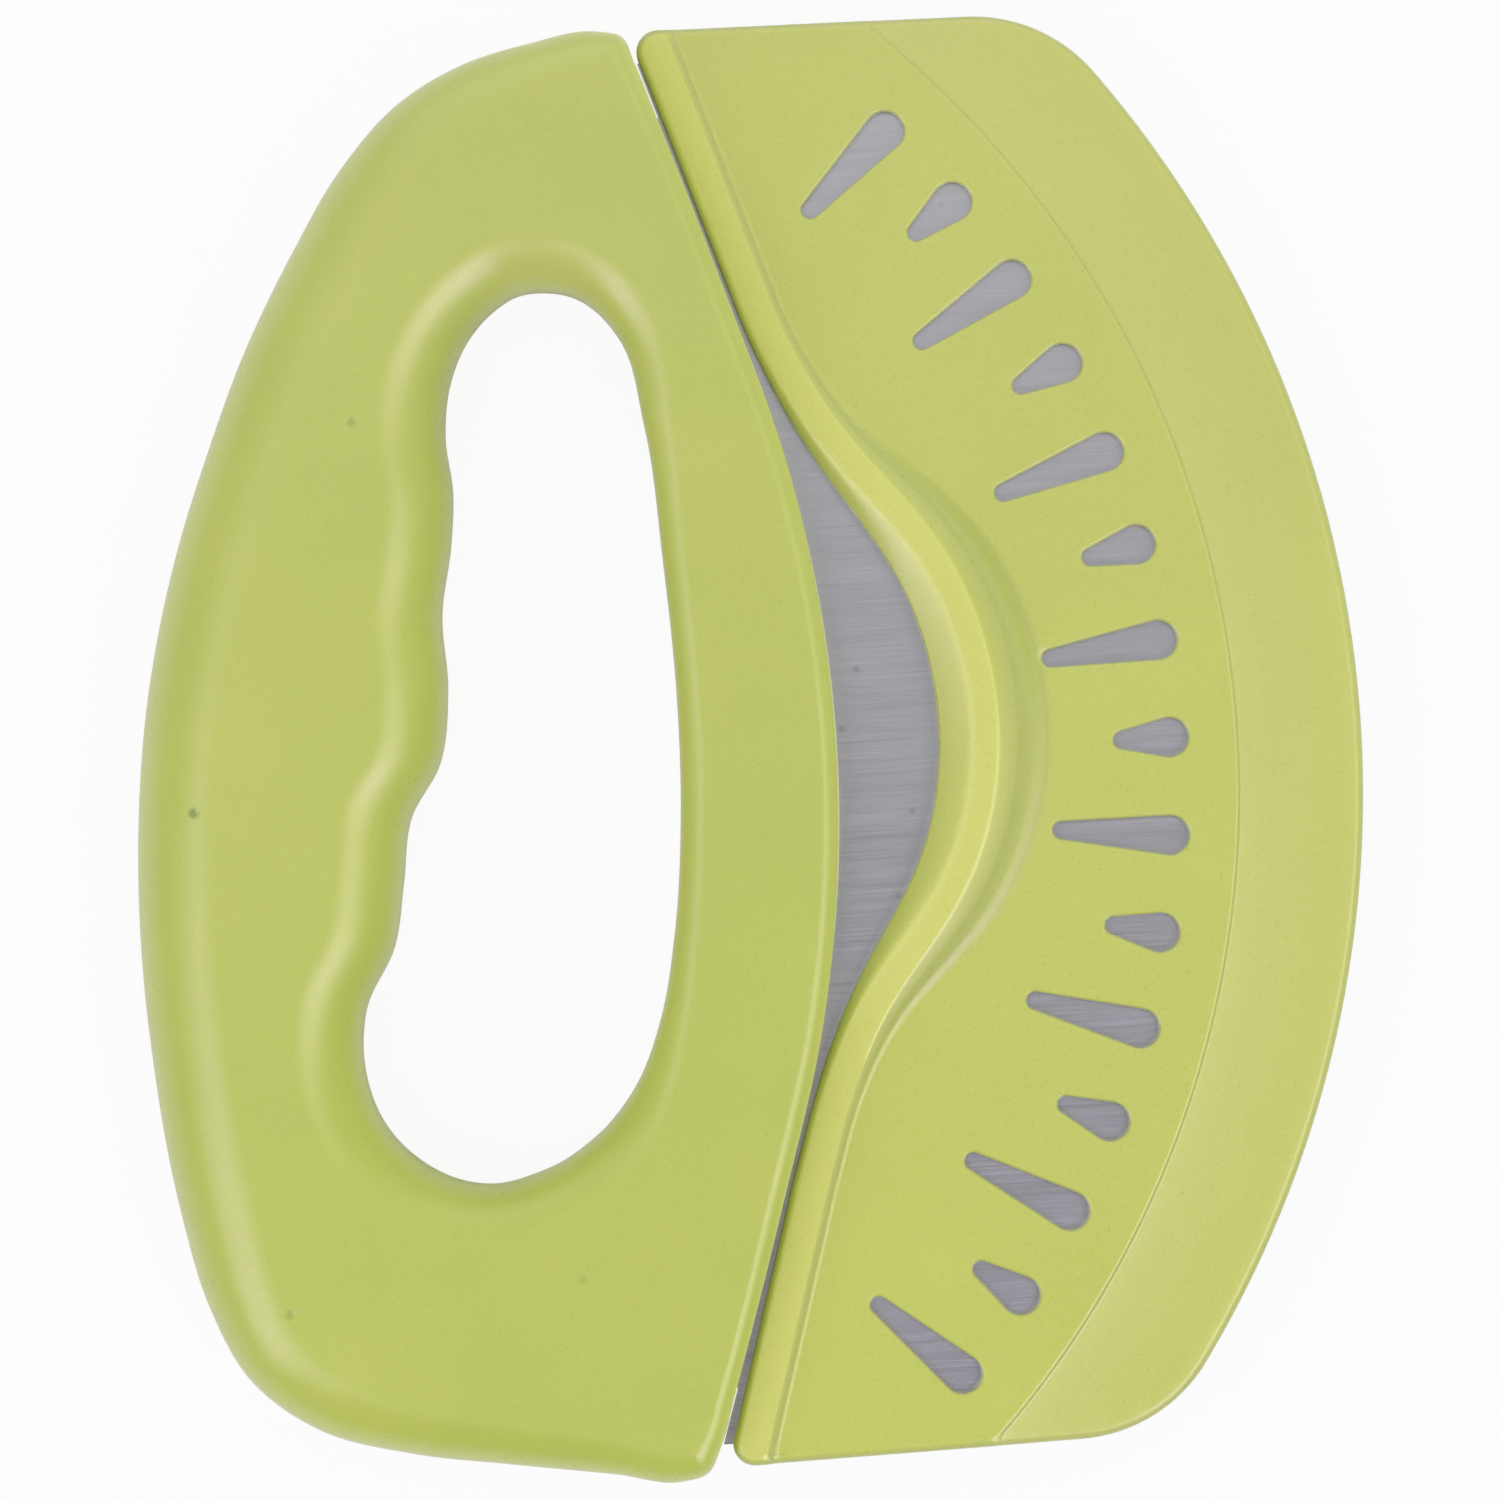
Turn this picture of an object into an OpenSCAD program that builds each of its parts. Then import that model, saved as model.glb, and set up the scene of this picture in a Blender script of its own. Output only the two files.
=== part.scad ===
// Rocker pizza cutter with a ring handle and a blade guard that slides off.
// X runs from the grip to the cutting edge, Y along the blade and Z through its thickness.
// The cutter lies flat on the back of its handle at z = 0, centred on the z axis.

/* [Handle] */
// Length of the handle along the blade
handle_len = 200; // [170:1:230]
// Depth of the handle from the back of the grip to the front of the bar
handle_depth = 97.7; // [90:0.1:110]
// Thickness of the handle
handle_t = 25; // [20:0.5:30]
// Radius of the front edge of the handle, where the blade leaves it
front_radius = 175; // [150:1:220]
// Angle of the straight flanks of the front edge
flank_angle = 17.8; // [14:0.1:20]
// Width of the bar between the opening and the front edge
bar_w = 21.6; // [20:0.1:25]
// Length of the finger opening
opening_len = 122.8; // [110:0.1:128]
// Depth of the finger opening
opening_depth = 46.3; // [40:0.1:50]
// How far the middle of the opening lies above the middle of the handle
opening_shift = 3.6; // [0:0.1:5]
// Thickness of the soft skin over the core
skin_t = 2.5; // [1.5:0.1:3]

/* [Handle edges] */
// Width of the rounding on the back of the grip
grip_roll = 10.5; // [7:0.5:13]
// Width of the rounding under the fingers
finger_roll = 10; // [7:0.5:12]
// Width of the rounding on the inside of the bar
bar_roll = 3.5; // [2.5:0.5:5]
// Width of the rounding along the front edge
front_roll = 2.5; // [1.5:0.5:4]

/* [Blade] */
// Thickness of the blade
blade_t = 1.2; // [0.8:0.1:2]
// How far the ends of the blade lie inside those of the handle
blade_inset = 4.3; // [4:0.1:8]
// Width of the ground bevel along the cutting edge
bevel_w = 5; // [3:0.5:8]
// Thickness left at the cutting edge
edge_t = 0.3; // [0.2:0.05:0.5]
// Radius of the outer corners of the blade
blade_corner = 17; // [8:0.5:20]
// How far the tang reaches into the handle
tang_depth = 12; // [11:0.5:13]
// How far the ends of the tang lie inside those of the handle
tang_inset = 12; // [11:0.5:18]
// Diameter of the tang rivets
rivet_d = 4; // [3:0.5:5]
// Diameter of the rivet heads
rivet_head_d = 6.5; // [6:0.5:7]
// Height of the rivet heads
rivet_head_h = 1.2; // [0.8:0.1:1.6]

/* [Guard] */
// Reach of the guard from the front of the handle to its rim
guard_reach = 72.6; // [72:0.1:78]
// Radius of the outer rim
rim_radius = 152.7; // [145:0.1:160]
// Distance from the cutting edge to the rim
rim_wall = 4.9; // [4:0.1:7]
// How far the ends of the guard lie inside those of the handle
guard_inset = 0.6; // [0:0.1:1]
// How far the middle of the guard's ends lies above the middle of the handle
guard_shift = 0.6; // [0:0.1:1]
// How far the centre of the rim and the edge lies below the middle of the handle
arc_drop = 1.9; // [0:0.1:2.5]
// Taper of the guard's ends towards the rim
end_angle = 1.6; // [0:0.1:2.5]
// Radius of the outer corners of the guard
guard_corner = 22; // [16:0.5:28]
// Radius of the corners beside the mouth
mouth_corner = 3; // [2:0.5:4]
// Thickness of the flat panel
panel_t = 6; // [5:0.1:8]
// Width of the outer band, from the rim to the step up to the panel
band_w = 17.5; // [14:0.1:20]
// Height of that step
step_h = 0.5; // [0.2:0.1:0.8]
// Fall of the outer band from the step to the rim
band_fall = 0.6; // [0:0.1:1]
// Rounding of the guard's edges
guard_round = 1.2; // [0.8:0.1:1.8]

/* [Guard mouth] */
// Gap between the guard and the handle
mouth_gap = 0.6; // [0.5:0.1:1.5]
// Gap at the lower end, where it opens a little
mouth_gap_low = 1.6; // [0.6:0.1:2]
// Depth of the scoop that bares the blade
scoop_depth = 13.6; // [8:0.1:18]
// Half length of the scoop above its middle
scoop_above = 58; // [50:1:65]
// Half length of the scoop below its middle
scoop_below = 55.5; // [50:1:65]
// How far the middle of the scoop lies above the middle of the handle
scoop_shift = 2.5; // [0:0.1:4]
// Thickness over the bead at the ends of the mouth
bead_t = 8.2; // [8:0.1:10]
// Thickness over the thumb lip in the middle of the mouth
lip_t = 15; // [10:0.5:18]
// Width of the crest of the bead
crest_w = 3.5; // [3:0.1:5]
// Width of the ramp from the edge of the mouth up to the thumb lip
ramp_w = 4.5; // [2:0.1:5]
// Width of the slope from the thumb lip down to the panel
slope_w = 7.3; // [4:0.1:8]

/* [Guard windows] */
// Distance from the step to the windows
window_margin = 6.5; // [5:0.1:9]
// Length of the longer windows
window_len = 18.9; // [14:0.1:21]
// Length of the shorter windows between them
window_short_len = 10.4; // [8:0.1:13]
// Width of a window at its outer end
window_w = 5.4; // [4:0.1:6]
// Width of a window at its inner end
window_tip_w = 2.4; // [1.6:0.1:3]
// Number of windows
window_count = 15; // [9:2:17]
// Distance from the ends of the guard to the middle of the outermost windows
window_end_gap = 11.5; // [10:0.5:20]

/* [Fits] */
// Gap between skin, core, tang and rivets
fit_gap = 0.05; // [0.02:0.01:0.1]
// Gap between the blade and the pocket of the guard
pocket_gap = 0.3; // [0.2:0.05:0.4]

/* [Hidden] */

// How far every cut runs past the solid it cuts
over = guard_round;
// Height of the blade's mid-plane over the table
mid_z = handle_t / 2;
// Front of the handle, which centres the whole cutter on the z axis
apex_x = (handle_depth - guard_reach) / 2;
// Centre of the cutting edge and of the rim
arc_centre = [apex_x + guard_reach - rim_radius, -arc_drop];
// Radius of the cutting edge, and of the step in the guard's panel
edge_radius = rim_radius - rim_wall;
step_radius = rim_radius - band_w;
// Half lengths of the blade, of its tang and of the guard
blade_half = handle_len / 2 - blade_inset;
tang_half = handle_len / 2 - tang_inset;
guard_half = handle_len / 2 - guard_inset;
// Front side of the finger opening
opening_x = apex_x - bar_w;
// Half length of the slot through which the tang enters the skin
slot_half = tang_half + fit_gap;

// The outline of the handle behind its front edge, from the upper front corner round the grip.
// Each row: share of the depth behind the front, share of the half length, and how far the
// rounding has grown from that of the front edge to that of the grip.
outer_shares = [
    [0.225, 0.955, 0.05], [0.24, 0.99, 0.15], [0.272, 1, 0.3], [0.375, 0.99, 0.5],
    [0.465, 0.969, 0.65], [0.56, 0.922, 0.8], [0.65, 0.835, 0.95], [0.725, 0.725, 1],
    [0.805, 0.585, 1], [0.865, 0.45, 1], [0.91, 0.335, 1], [0.947, 0.215, 1],
    [0.973, 0.1, 1], [0.99, -0.02, 1], [0.999, -0.15, 1], [0.999, -0.28, 1],
    [0.993, -0.38, 1], [0.983, -0.485, 1], [0.965, -0.6, 1], [0.935, -0.722, 0.95],
    [0.88, -0.83, 0.85], [0.79, -0.9, 0.75], [0.66, -0.94, 0.6], [0.52, -0.963, 0.5],
    [0.375, -0.985, 0.4], [0.28, -1, 0.25], [0.245, -0.99, 0.15], [0.225, -0.955, 0.05]
];

// The finger opening, as shares of its own depth and half length, and how far the rounding has
// grown from that of the bar to that under the fingers. First along the bar, from below, with
// one row for each point of the front edge, then along the scalloped grip side.
bar_side_shares = [
    [0.2, -0.805, 0.3], [0.11, -0.655, 0.1], [0.05, -0.46, 0], [0.01, -0.195, 0],
    [0, 0.09, 0], [0.016, 0.38, 0], [0.045, 0.675, 0.1], [0.117, 0.9, 0.35]
];
grip_side_shares = [
    [0.178, 0.956, 0.5], [0.222, 0.98, 0.55], [0.265, 0.993, 0.6], [0.33, 1, 0.7],
    [0.4, 0.995, 0.8], [0.468, 0.968, 0.85], [0.556, 0.902, 0.9], [0.615, 0.812, 1],
    [0.642, 0.69, 1], [0.63, 0.56, 1], [0.645, 0.445, 1], [0.685, 0.29, 1],
    [0.682, 0.115, 1], [0.72, -0.048, 1], [0.815, -0.165, 1], [0.85, -0.31, 1],
    [0.888, -0.45, 1], [0.985, -0.59, 1], [1, -0.72, 1], [0.943, -0.858, 0.95],
    [0.845, -0.94, 0.9], [0.74, -0.985, 0.85], [0.62, -1, 0.8], [0.52, -0.985, 0.7],
    [0.43, -0.96, 0.6], [0.345, -0.92, 0.5], [0.295, -0.89, 0.45], [0.245, -0.85, 0.4]
];
// Stations between two rows, and the steps of a quarter round
station_steps = 3;
roll_steps = 4;
// Stations to each side over which the direction of an outline is taken, so that corners stay fair
fair_span = 5;
// Height of an edge rounding as a share of its width
roll_height_share = 1.05;
// Height of the core's lower tier as a share of half the handle's thickness
tier_share = 0.46;
// Inset of the core's upper tier as a share of the rounding over it
tier_inset_share = 0.75;
// Least inset of the upper tier behind the lower one, as a share of the skin's thickness
tier_step_share = 0.4;

// Stations of the rivets along the bar, as shares of half the tang's length
rivet_shares = [-0.86, -0.43, 0, 0.43, 0.86];
// Distance of the rivets behind the front edge, as a share of the tang's depth
rivet_inset_share = 0.62;
// Rows of the outline beside which the core halves are pegged
peg_rows = [5, 9, 13, 18, 22];
// Diameter of the pegs, and how deep they reach into the back half of the core
peg_d = skin_t * 2;
peg_len = mid_z / 2;

// Share of the guard's lower half from which on its gap to the handle opens
gap_from_share = 0.6;
// How much steeper the ends of the scoop are than a plain wave, as a share of its depth
scoop_flank_share = 0.045;
// Section of the bead along the mouth, from the blade to the panel. On the ramp each row is the
// share of its width and of its rise, on the crest and the slope the share of the width and of
// the fall to the panel.
ramp_shares = [[0, 0], [0.5, 0.6], [1, 0.94]];
crest_shares = [[0.25, 0], [0.85, 0]];
slope_shares = [[0.33, 0.34], [0.55, 0.78]];
// Rise of the ramp beside the middle of the lip, as a share of its width
ramp_rise_share = 0.5;
// Rounding of the guard's edges: rows of inset and of depth under the face. The last but one
// lies past the face, so that the rounding runs out through it.
round_shares = [[0, 1], [0.12, 0.5], [0.5, 0.12], [1.4, -0.12]];
// Points along a straight end of the guard, close together where bead and step meet it
end_shares = [0.05, 0.12, 0.3, 0.5, 0.64, 0.72, 0.85];

// Facets round the bores and pegs, the large arcs, the cutting edge and the ends of the windows
bore_facets = 48;
arc_facets = 144;
edge_facets = 240;
window_facets = 14;
// Steps of the round outer corners of blade and guard
corner_steps = 7;

function mix(a, b, share) = a + (b - a) * share;
function unit(v) = v / norm(v);
function turned_in(v) = [-v[1], v[0]];

// Where a ray from p along u leaves the circle of radius r about c
function ray_end(p, u, c, r) =
    let (along = (p - c) * u)
    p + u * (-along + sqrt(along * along - (p - c) * (p - c) + r * r));

// Points of an arc about c from one angle to another
function arc(c, r, from_angle, to_angle, steps) =
    [for (k = [0:steps]) c + r * [cos(mix(from_angle, to_angle, k / steps)),
                                  sin(mix(from_angle, to_angle, k / steps))]];

// Front edge of the handle: an arc that runs out into straight flanks
function front_x(y) =
    let (knee = front_radius * sin(flank_angle))
    abs(y) < knee
        ? apex_x - front_radius + sqrt(front_radius * front_radius - y * y)
        : apex_x - front_radius * (1 - cos(flank_angle)) - (abs(y) - knee) * tan(flank_angle);

// A closed curve through rows of [x, y, value], with steps points to each row. The slope at
// a row leans towards the shorter of its two neighbouring chords, so short chords stay tight.
function row_slope(rows, i) =
    let (
        n = len(rows),
        back = rows[i % n] - rows[(i + n - 1) % n],
        ahead = rows[(i + 1) % n] - rows[i % n],
        back_len = norm([back[0], back[1]]),
        ahead_len = norm([ahead[0], ahead[1]]),
        lean = back * (ahead_len / back_len) + ahead * (back_len / ahead_len)
    )
    lean / norm([lean[0], lean[1]]);
function curve(rows, steps) =
    [for (i = [0:len(rows) - 1], k = [0:steps - 1])
        let (
            t = k / steps,
            a = rows[i],
            b = rows[(i + 1) % len(rows)],
            reach = norm([b[0] - a[0], b[1] - a[1]])
        )
        a * (2 * pow(t, 3) - 3 * pow(t, 2) + 1)
        + b * (3 * pow(t, 2) - 2 * pow(t, 3))
        + row_slope(rows, i) * reach * (pow(t, 3) - 2 * pow(t, 2) + t)
        + row_slope(rows, i + 1) * reach * (pow(t, 3) - pow(t, 2))];

// Unit vector square to a closed outline at each of its points, to the left of its run
function inward(ring) =
    [for (i = [0:len(ring) - 1])
        let (n = len(ring), run = ring[(i + fair_span) % n] - ring[(i + n - fair_span) % n])
        turned_in(unit([run[0], run[1]]))];

// Handle stations: place, rounding and inward direction of the outer side and of the opening
front_rows = [for (i = [0:len(bar_side_shares) - 1])
    let (y = mix(-slot_half, slot_half, i / (len(bar_side_shares) - 1)))
    [front_x(y), y, front_roll]];
back_rows = [for (s = outer_shares)
    [apex_x - s[0] * handle_depth, s[1] * handle_len / 2, mix(front_roll, grip_roll, s[2])]];
opening_rows = [for (s = concat(bar_side_shares, grip_side_shares))
    [opening_x - s[0] * opening_depth, opening_shift + s[1] * opening_len / 2,
     mix(bar_roll, finger_roll, s[2])]];
outer_ring = curve(concat(front_rows, back_rows), station_steps);
inner_ring = curve(opening_rows, station_steps);
outer_in = inward(outer_ring);
inner_in = -inward(inner_ring);
stations = len(outer_ring);
// The last station at which the skin parts for the tang
slot_last = (len(front_rows) - 1) * station_steps;

// Points of one side of the handle, moved into the wall by an inset
function inset_ring(ring, direction, inset) =
    [for (i = [0:stations - 1]) [ring[i][0], ring[i][1]] + direction[i] * inset];
function tier_inset(roll) = max(skin_t * (1 + tier_step_share), roll * tier_inset_share);
function tier_ring(ring, direction) =
    [for (i = [0:stations - 1])
        [ring[i][0], ring[i][1]] + direction[i] * (tier_inset(ring[i][2]) + fit_gap)];

// Section of a half skin at one side, as [inset, height over the mid-plane] pairs from the seam
// over the rounding to the land, and back through the hollow that holds the core
core_top = mid_z - skin_t;
tier_top = mid_z * tier_share;
function roll_h(roll) = min(roll * roll_height_share, mid_z - blade_t);
function outside_profile(roll, seam) =
    concat([[0, seam], [0, mid_z - roll_h(roll)]],
           [for (k = [1:roll_steps])
               let (a = 90 * k / roll_steps)
               [roll * (1 - cos(a)), mid_z - roll_h(roll) * (1 - sin(a))]]);
function hollow_profile(roll, seam) =
    [[skin_t, seam], [skin_t, tier_top], [tier_inset(roll), tier_top], [tier_inset(roll), core_top]];
function placed(place, direction, profile) =
    [for (p = profile) [place[0] + direction[0] * p[0], place[1] + direction[1] * p[0], p[1]]];
function reversed(list) = [for (i = [len(list) - 1:-1:0]) list[i]];
function skin_section(i) =
    let (seam = i <= slot_last ? blade_t / 2 + fit_gap : 0)
    concat(placed(outer_ring[i], outer_in[i], outside_profile(outer_ring[i][2], seam)),
           reversed(placed(inner_ring[i], inner_in[i], outside_profile(inner_ring[i][2], 0))),
           placed(inner_ring[i], inner_in[i], hollow_profile(inner_ring[i][2], 0)),
           reversed(placed(outer_ring[i], outer_in[i], hollow_profile(outer_ring[i][2], seam))));

// A closed tube through rings of points that all have the same count
module ring_of_sections(sections) {
    n = len(sections);
    m = len(sections[0]);
    polyhedron(
        points = [for (s = sections, p = s) p],
        faces = [for (i = [0:n - 1], j = [0:m - 1])
            let (a = i * m + j, b = i * m + (j + 1) % m,
                 c = ((i + 1) % n) * m + j, d = ((i + 1) % n) * m + (j + 1) % m)
            each [[a, b, d], [a, d, c]]]
    );
}

// One half of the soft skin, over the mid-plane
module half_skin() {
    ring_of_sections([for (i = [0:stations - 1]) skin_section(i)]);
}

// One tier of the rigid core: the handle's own outlines, drawn in
module core_tier(outer, inner, bottom, top) {
    translate([0, 0, bottom]) difference() {
        linear_extrude(top - bottom) polygon(outer);
        translate([0, 0, -over]) linear_extrude(top - bottom + 2 * over) polygon(inner);
    }
}

// Place of each rivet, square behind the front edge
function rivet_place(share) =
    let (y = share * tang_half,
         run = unit([front_x(y + fit_gap) - front_x(y - fit_gap), 2 * fit_gap]))
    [front_x(y), y] + turned_in(run) * tang_depth * rivet_inset_share;

// Place of each peg, midway between the grip's two sides
function peg_place(row) =
    let (i = (len(front_rows) + row) * station_steps)
    ([outer_ring[i][0], outer_ring[i][1]] + [inner_ring[i][0], inner_ring[i][1]]) / 2;

// Outline of the tang inside the handle, with a gap all round it
module tang_outline(gap) {
    half = tang_half + gap;
    steps = 20;
    polygon(concat(
        [for (k = [0:steps])
            let (y = mix(-half, half, k / steps)) [front_x(y) - tang_depth - gap, y]],
        [for (k = [0:steps])
            let (y = mix(half, -half, k / steps)) [front_x(y) + mouth_gap / 2, y]]
    ));
}

// One half of the core, over the mid-plane, with the recess for the tang and the rivet bores
module half_core() {
    difference() {
        union() {
            core_tier(inset_ring(outer_ring, outer_in, skin_t + fit_gap),
                      inset_ring(inner_ring, inner_in, skin_t + fit_gap),
                      0, tier_top - fit_gap);
            core_tier(tier_ring(outer_ring, outer_in),
                      tier_ring(inner_ring, inner_in),
                      tier_top / 2, core_top - fit_gap);
        }
        translate([0, 0, -over]) linear_extrude(over + blade_t / 2 + fit_gap) tang_outline(fit_gap);
        for (share = rivet_shares) translate(rivet_place(share)) {
            translate([0, 0, -over])
                cylinder(d = rivet_d + 2 * fit_gap, h = mid_z + 2 * over, $fn = bore_facets);
            translate([0, 0, core_top - rivet_head_h - 2 * fit_gap])
                cylinder(d = rivet_head_d + 2 * fit_gap, h = mid_z, $fn = bore_facets);
        }
    }
}

module handle_core_front() {
    color([0.92, 0.92, 0.88]) translate([0, 0, mid_z]) {
        half_core();
        for (row = peg_rows) translate(peg_place(row)) translate([0, 0, -peg_len])
            cylinder(d = peg_d, h = peg_len + tier_top / 2, $fn = bore_facets);
    }
}

module handle_core_back() {
    color([0.92, 0.92, 0.88]) translate([0, 0, mid_z]) difference() {
        mirror([0, 0, 1]) half_core();
        for (row = peg_rows) translate(peg_place(row)) translate([0, 0, -peg_len - fit_gap])
            cylinder(d = peg_d + 2 * fit_gap, h = peg_len + fit_gap + over, $fn = bore_facets);
    }
}

module grip_skin_front() {
    color([0.74, 0.8, 0.4]) translate([0, 0, mid_z]) half_skin();
}

module grip_skin_back() {
    color([0.74, 0.8, 0.4]) translate([0, 0, mid_z]) mirror([0, 0, 1]) half_skin();
}

// A rivet with a flat head at each end, flush with the core
module tang_rivet(number) {
    head_top = core_top - fit_gap;
    place = rivet_place(rivet_shares[number - 1]);
    color([0.75, 0.75, 0.77]) translate([place[0], place[1], mid_z]) {
        translate([0, 0, -head_top]) cylinder(d = rivet_d, h = 2 * head_top, $fn = bore_facets);
        for (side = [0, 1]) mirror([0, 0, side])
            translate([0, 0, head_top - rivet_head_h])
                cylinder(d = rivet_head_d, h = rivet_head_h, $fn = bore_facets);
    }
}

// Outline of the blade: the tang, the shoulders beside the handle, the ends and their round
// corners. It runs on past the cutting edge, which a disc cuts from it, and the corners lean
// over that edge by its thickness, so that the cut is clean. The gap grows the outline.
module blade_outline(gap) {
    half = blade_half + gap;
    corner = blade_corner + gap;
    reach = edge_radius + gap;
    steps = 20;
    upper = ray_end([apex_x, half - corner], [1, 0], arc_centre, reach - corner + edge_t);
    lower = ray_end([apex_x, corner - half], [1, 0], arc_centre, reach - corner + edge_t);
    upper_angle = atan2(upper[1] - arc_centre[1], upper[0] - arc_centre[0]);
    lower_angle = atan2(lower[1] - arc_centre[1], lower[0] - arc_centre[0]);
    polygon(concat(
        [for (k = [0:steps])
            let (y = mix(tang_half, -tang_half, k / steps)) [front_x(y) - tang_depth, y]],
        [for (y = [-tang_half, -half]) [front_x(y) + mouth_gap / 2, y]],
        arc(lower, corner, -90, lower_angle, corner_steps),
        [[arc_centre[0] + reach + over, lower[1] - corner * cos(lower_angle)],
         [arc_centre[0] + reach + over, upper[1] + corner * cos(upper_angle)]],
        arc(upper, corner, upper_angle, 90, corner_steps),
        [for (y = [half, tang_half]) [front_x(y) + mouth_gap / 2, y]]
    ));
}

// The blade is ground by a disc with a tapered rim, whose taper runs on past both faces
module blade() {
    half = blade_t / 2;
    disc_half = 2 * half - edge_t / 2;
    color([0.62, 0.62, 0.64]) translate([0, 0, mid_z]) difference() {
        intersection() {
            translate([0, 0, -half]) linear_extrude(blade_t) blade_outline(0);
            translate(arc_centre) rotate_extrude($fn = edge_facets) polygon([
                [0, -disc_half], [edge_radius - 2 * bevel_w, -disc_half], [edge_radius, -edge_t / 2],
                [edge_radius, edge_t / 2], [edge_radius - 2 * bevel_w, disc_half], [0, disc_half]
            ]);
        }
        for (share = rivet_shares) translate(rivet_place(share))
            translate([0, 0, -blade_t])
                cylinder(d = rivet_d + 2 * fit_gap, h = 2 * blade_t, $fn = bore_facets);
    }
}

// How far the scoop has opened at a place along the mouth, from 0 at its ends to 1
function scoop(y) =
    let (
        away = y - scoop_shift,
        half = away > 0 ? scoop_above : scoop_below,
        wave = (1 + cos(180 * away / half)) / 2
    )
    abs(away) < half ? wave - scoop_flank_share * sin(360 * wave) : 0;
function gap_at(y) =
    let (opened = (-y / guard_half - gap_from_share) / (1 - gap_from_share))
    mix(mouth_gap, mouth_gap_low, max(0, min(1, opened)));
function mouth_x(y) = front_x(y) + gap_at(y) + scoop_depth * scoop(y);
function mouth_in(y) =
    let (step = mouth_gap) unit([2 * step, mouth_x(y - step) - mouth_x(y + step)]);

// Height of the guard over the blade's mid-plane at a distance from the centre of its rim:
// flat, then down the step and on in a fall that flattens towards the rim
panel_h = panel_t / 2;
function guard_h(r) =
    let (u = min(1, (r - step_radius) / band_w))
    r < step_radius ? panel_h : panel_h - step_h - band_fall * u * (2 - u);

// Corners of the guard: the centre of the round beside the rim, and of that beside the mouth
function end_y(side) = guard_shift + side * guard_half;
function end_run(side) = [cos(end_angle), -side * sin(end_angle)];
function end_corner(side) =
    let (start = [apex_x, end_y(side) - side * guard_corner / cos(end_angle)])
    ray_end(start, end_run(side), arc_centre, rim_radius - guard_corner);
function lip_corner(side) =
    let (y = end_y(side) - side * mouth_corner)
    [mouth_x(y) + mouth_corner / cos(flank_angle), y];
function corner_angle(side) =
    let (d = end_corner(side) - arc_centre) atan2(d[1], d[0]);
function end_line(side) =
    let (start = lip_corner(side) + mouth_corner * [0, side], run = end_run(side),
         length = (end_corner(side)[0] - start[0]) / run[0])
    [for (share = end_shares) start + run * length * share];
// The guard's outline from the lower corner of the mouth round the rim to the upper one
guard_edge = concat(
    arc(lip_corner(-1), mouth_corner, 180 - flank_angle, 270 + end_angle, 5),
    end_line(-1),
    arc(end_corner(-1), guard_corner, -90 + end_angle, corner_angle(-1), corner_steps),
    arc(arc_centre, rim_radius, corner_angle(-1), corner_angle(1), 26),
    arc(end_corner(1), guard_corner, corner_angle(1), 90 - end_angle, corner_steps),
    reversed(end_line(1)),
    arc(lip_corner(1), mouth_corner, 90 - end_angle, 180 + flank_angle, 5)
);

// A closed solid through open rows of points, capped at its first and last row
module capped_rows(rows) {
    n = len(rows);
    m = len(rows[0]);
    polyhedron(
        points = [for (row = rows, p = row) p],
        faces = concat(
            [[for (j = [0:m - 1]) j]],
            [for (i = [0:n - 2], j = [0:m - 1])
                let (a = i * m + j, b = i * m + (j + 1) % m, c = a + m, d = b + m)
                each [[a, c, d], [a, d, b]]],
            [[for (j = [m - 1:-1:0]) (n - 1) * m + j]]
        )
    );
}

// The guard's outer form: its outline with rounded edges. Over the rounding it runs up past the
// thumb lip, and between the two corners of the mouth it lies clear of the mouth.
module guard_trim() {
    n = len(guard_edge);
    inward_run = [for (i = [0:n - 1])
        turned_in(unit(guard_edge[(i + 1) % n] - guard_edge[(i + n - 1) % n]))];
    height = [for (p = guard_edge)
        p[0] < mouth_x(p[1]) + mouth_corner ? bead_t / 2 : guard_h(norm(p - arc_centre))];
    upper = concat(
        [for (share = round_shares)
            [for (i = [0:n - 1])
                let (p = guard_edge[i] + inward_run[i] * guard_round * share[0])
                [p[0], p[1], height[i] - guard_round * share[1]]]],
        [[for (i = [0:n - 1])
            let (p = guard_edge[i] + inward_run[i] * guard_round * 2) [p[0], p[1], lip_t]]]
    );
    lower = [for (row = reversed(upper)) [for (p = row) [p[0], p[1], -p[2]]]];
    capped_rows(concat(lower, upper));
}

// Panel, step and falling outer band, turned about the centre of the rim. Along the mouth it
// starts inside the bead.
module guard_panel() {
    fall_steps = 4;
    upper = concat(
        [[0, panel_h], [step_radius, panel_h]],
        [for (k = [0:fall_steps])
            let (r = mix(step_radius + step_h, rim_radius, k / fall_steps)) [r, guard_h(r)]],
        [[rim_radius + over, guard_h(rim_radius)]]
    );
    half = guard_half + guard_shift + over;
    steps = 24;
    difference() {
        translate(arc_centre) rotate_extrude($fn = arc_facets)
            polygon(concat([for (p = reversed(upper)) [p[0], -p[1]]], upper));
        translate([0, 0, -panel_t]) linear_extrude(2 * panel_t) polygon(concat(
            [[-handle_depth - rim_radius, -rim_radius - handle_len]],
            [for (k = [0:steps])
                let (y = mix(-half, half, k / steps)) [mouth_x(y) + crest_w, y]],
            [[-handle_depth - rim_radius, rim_radius + handle_len]]
        ));
    }
}

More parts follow.
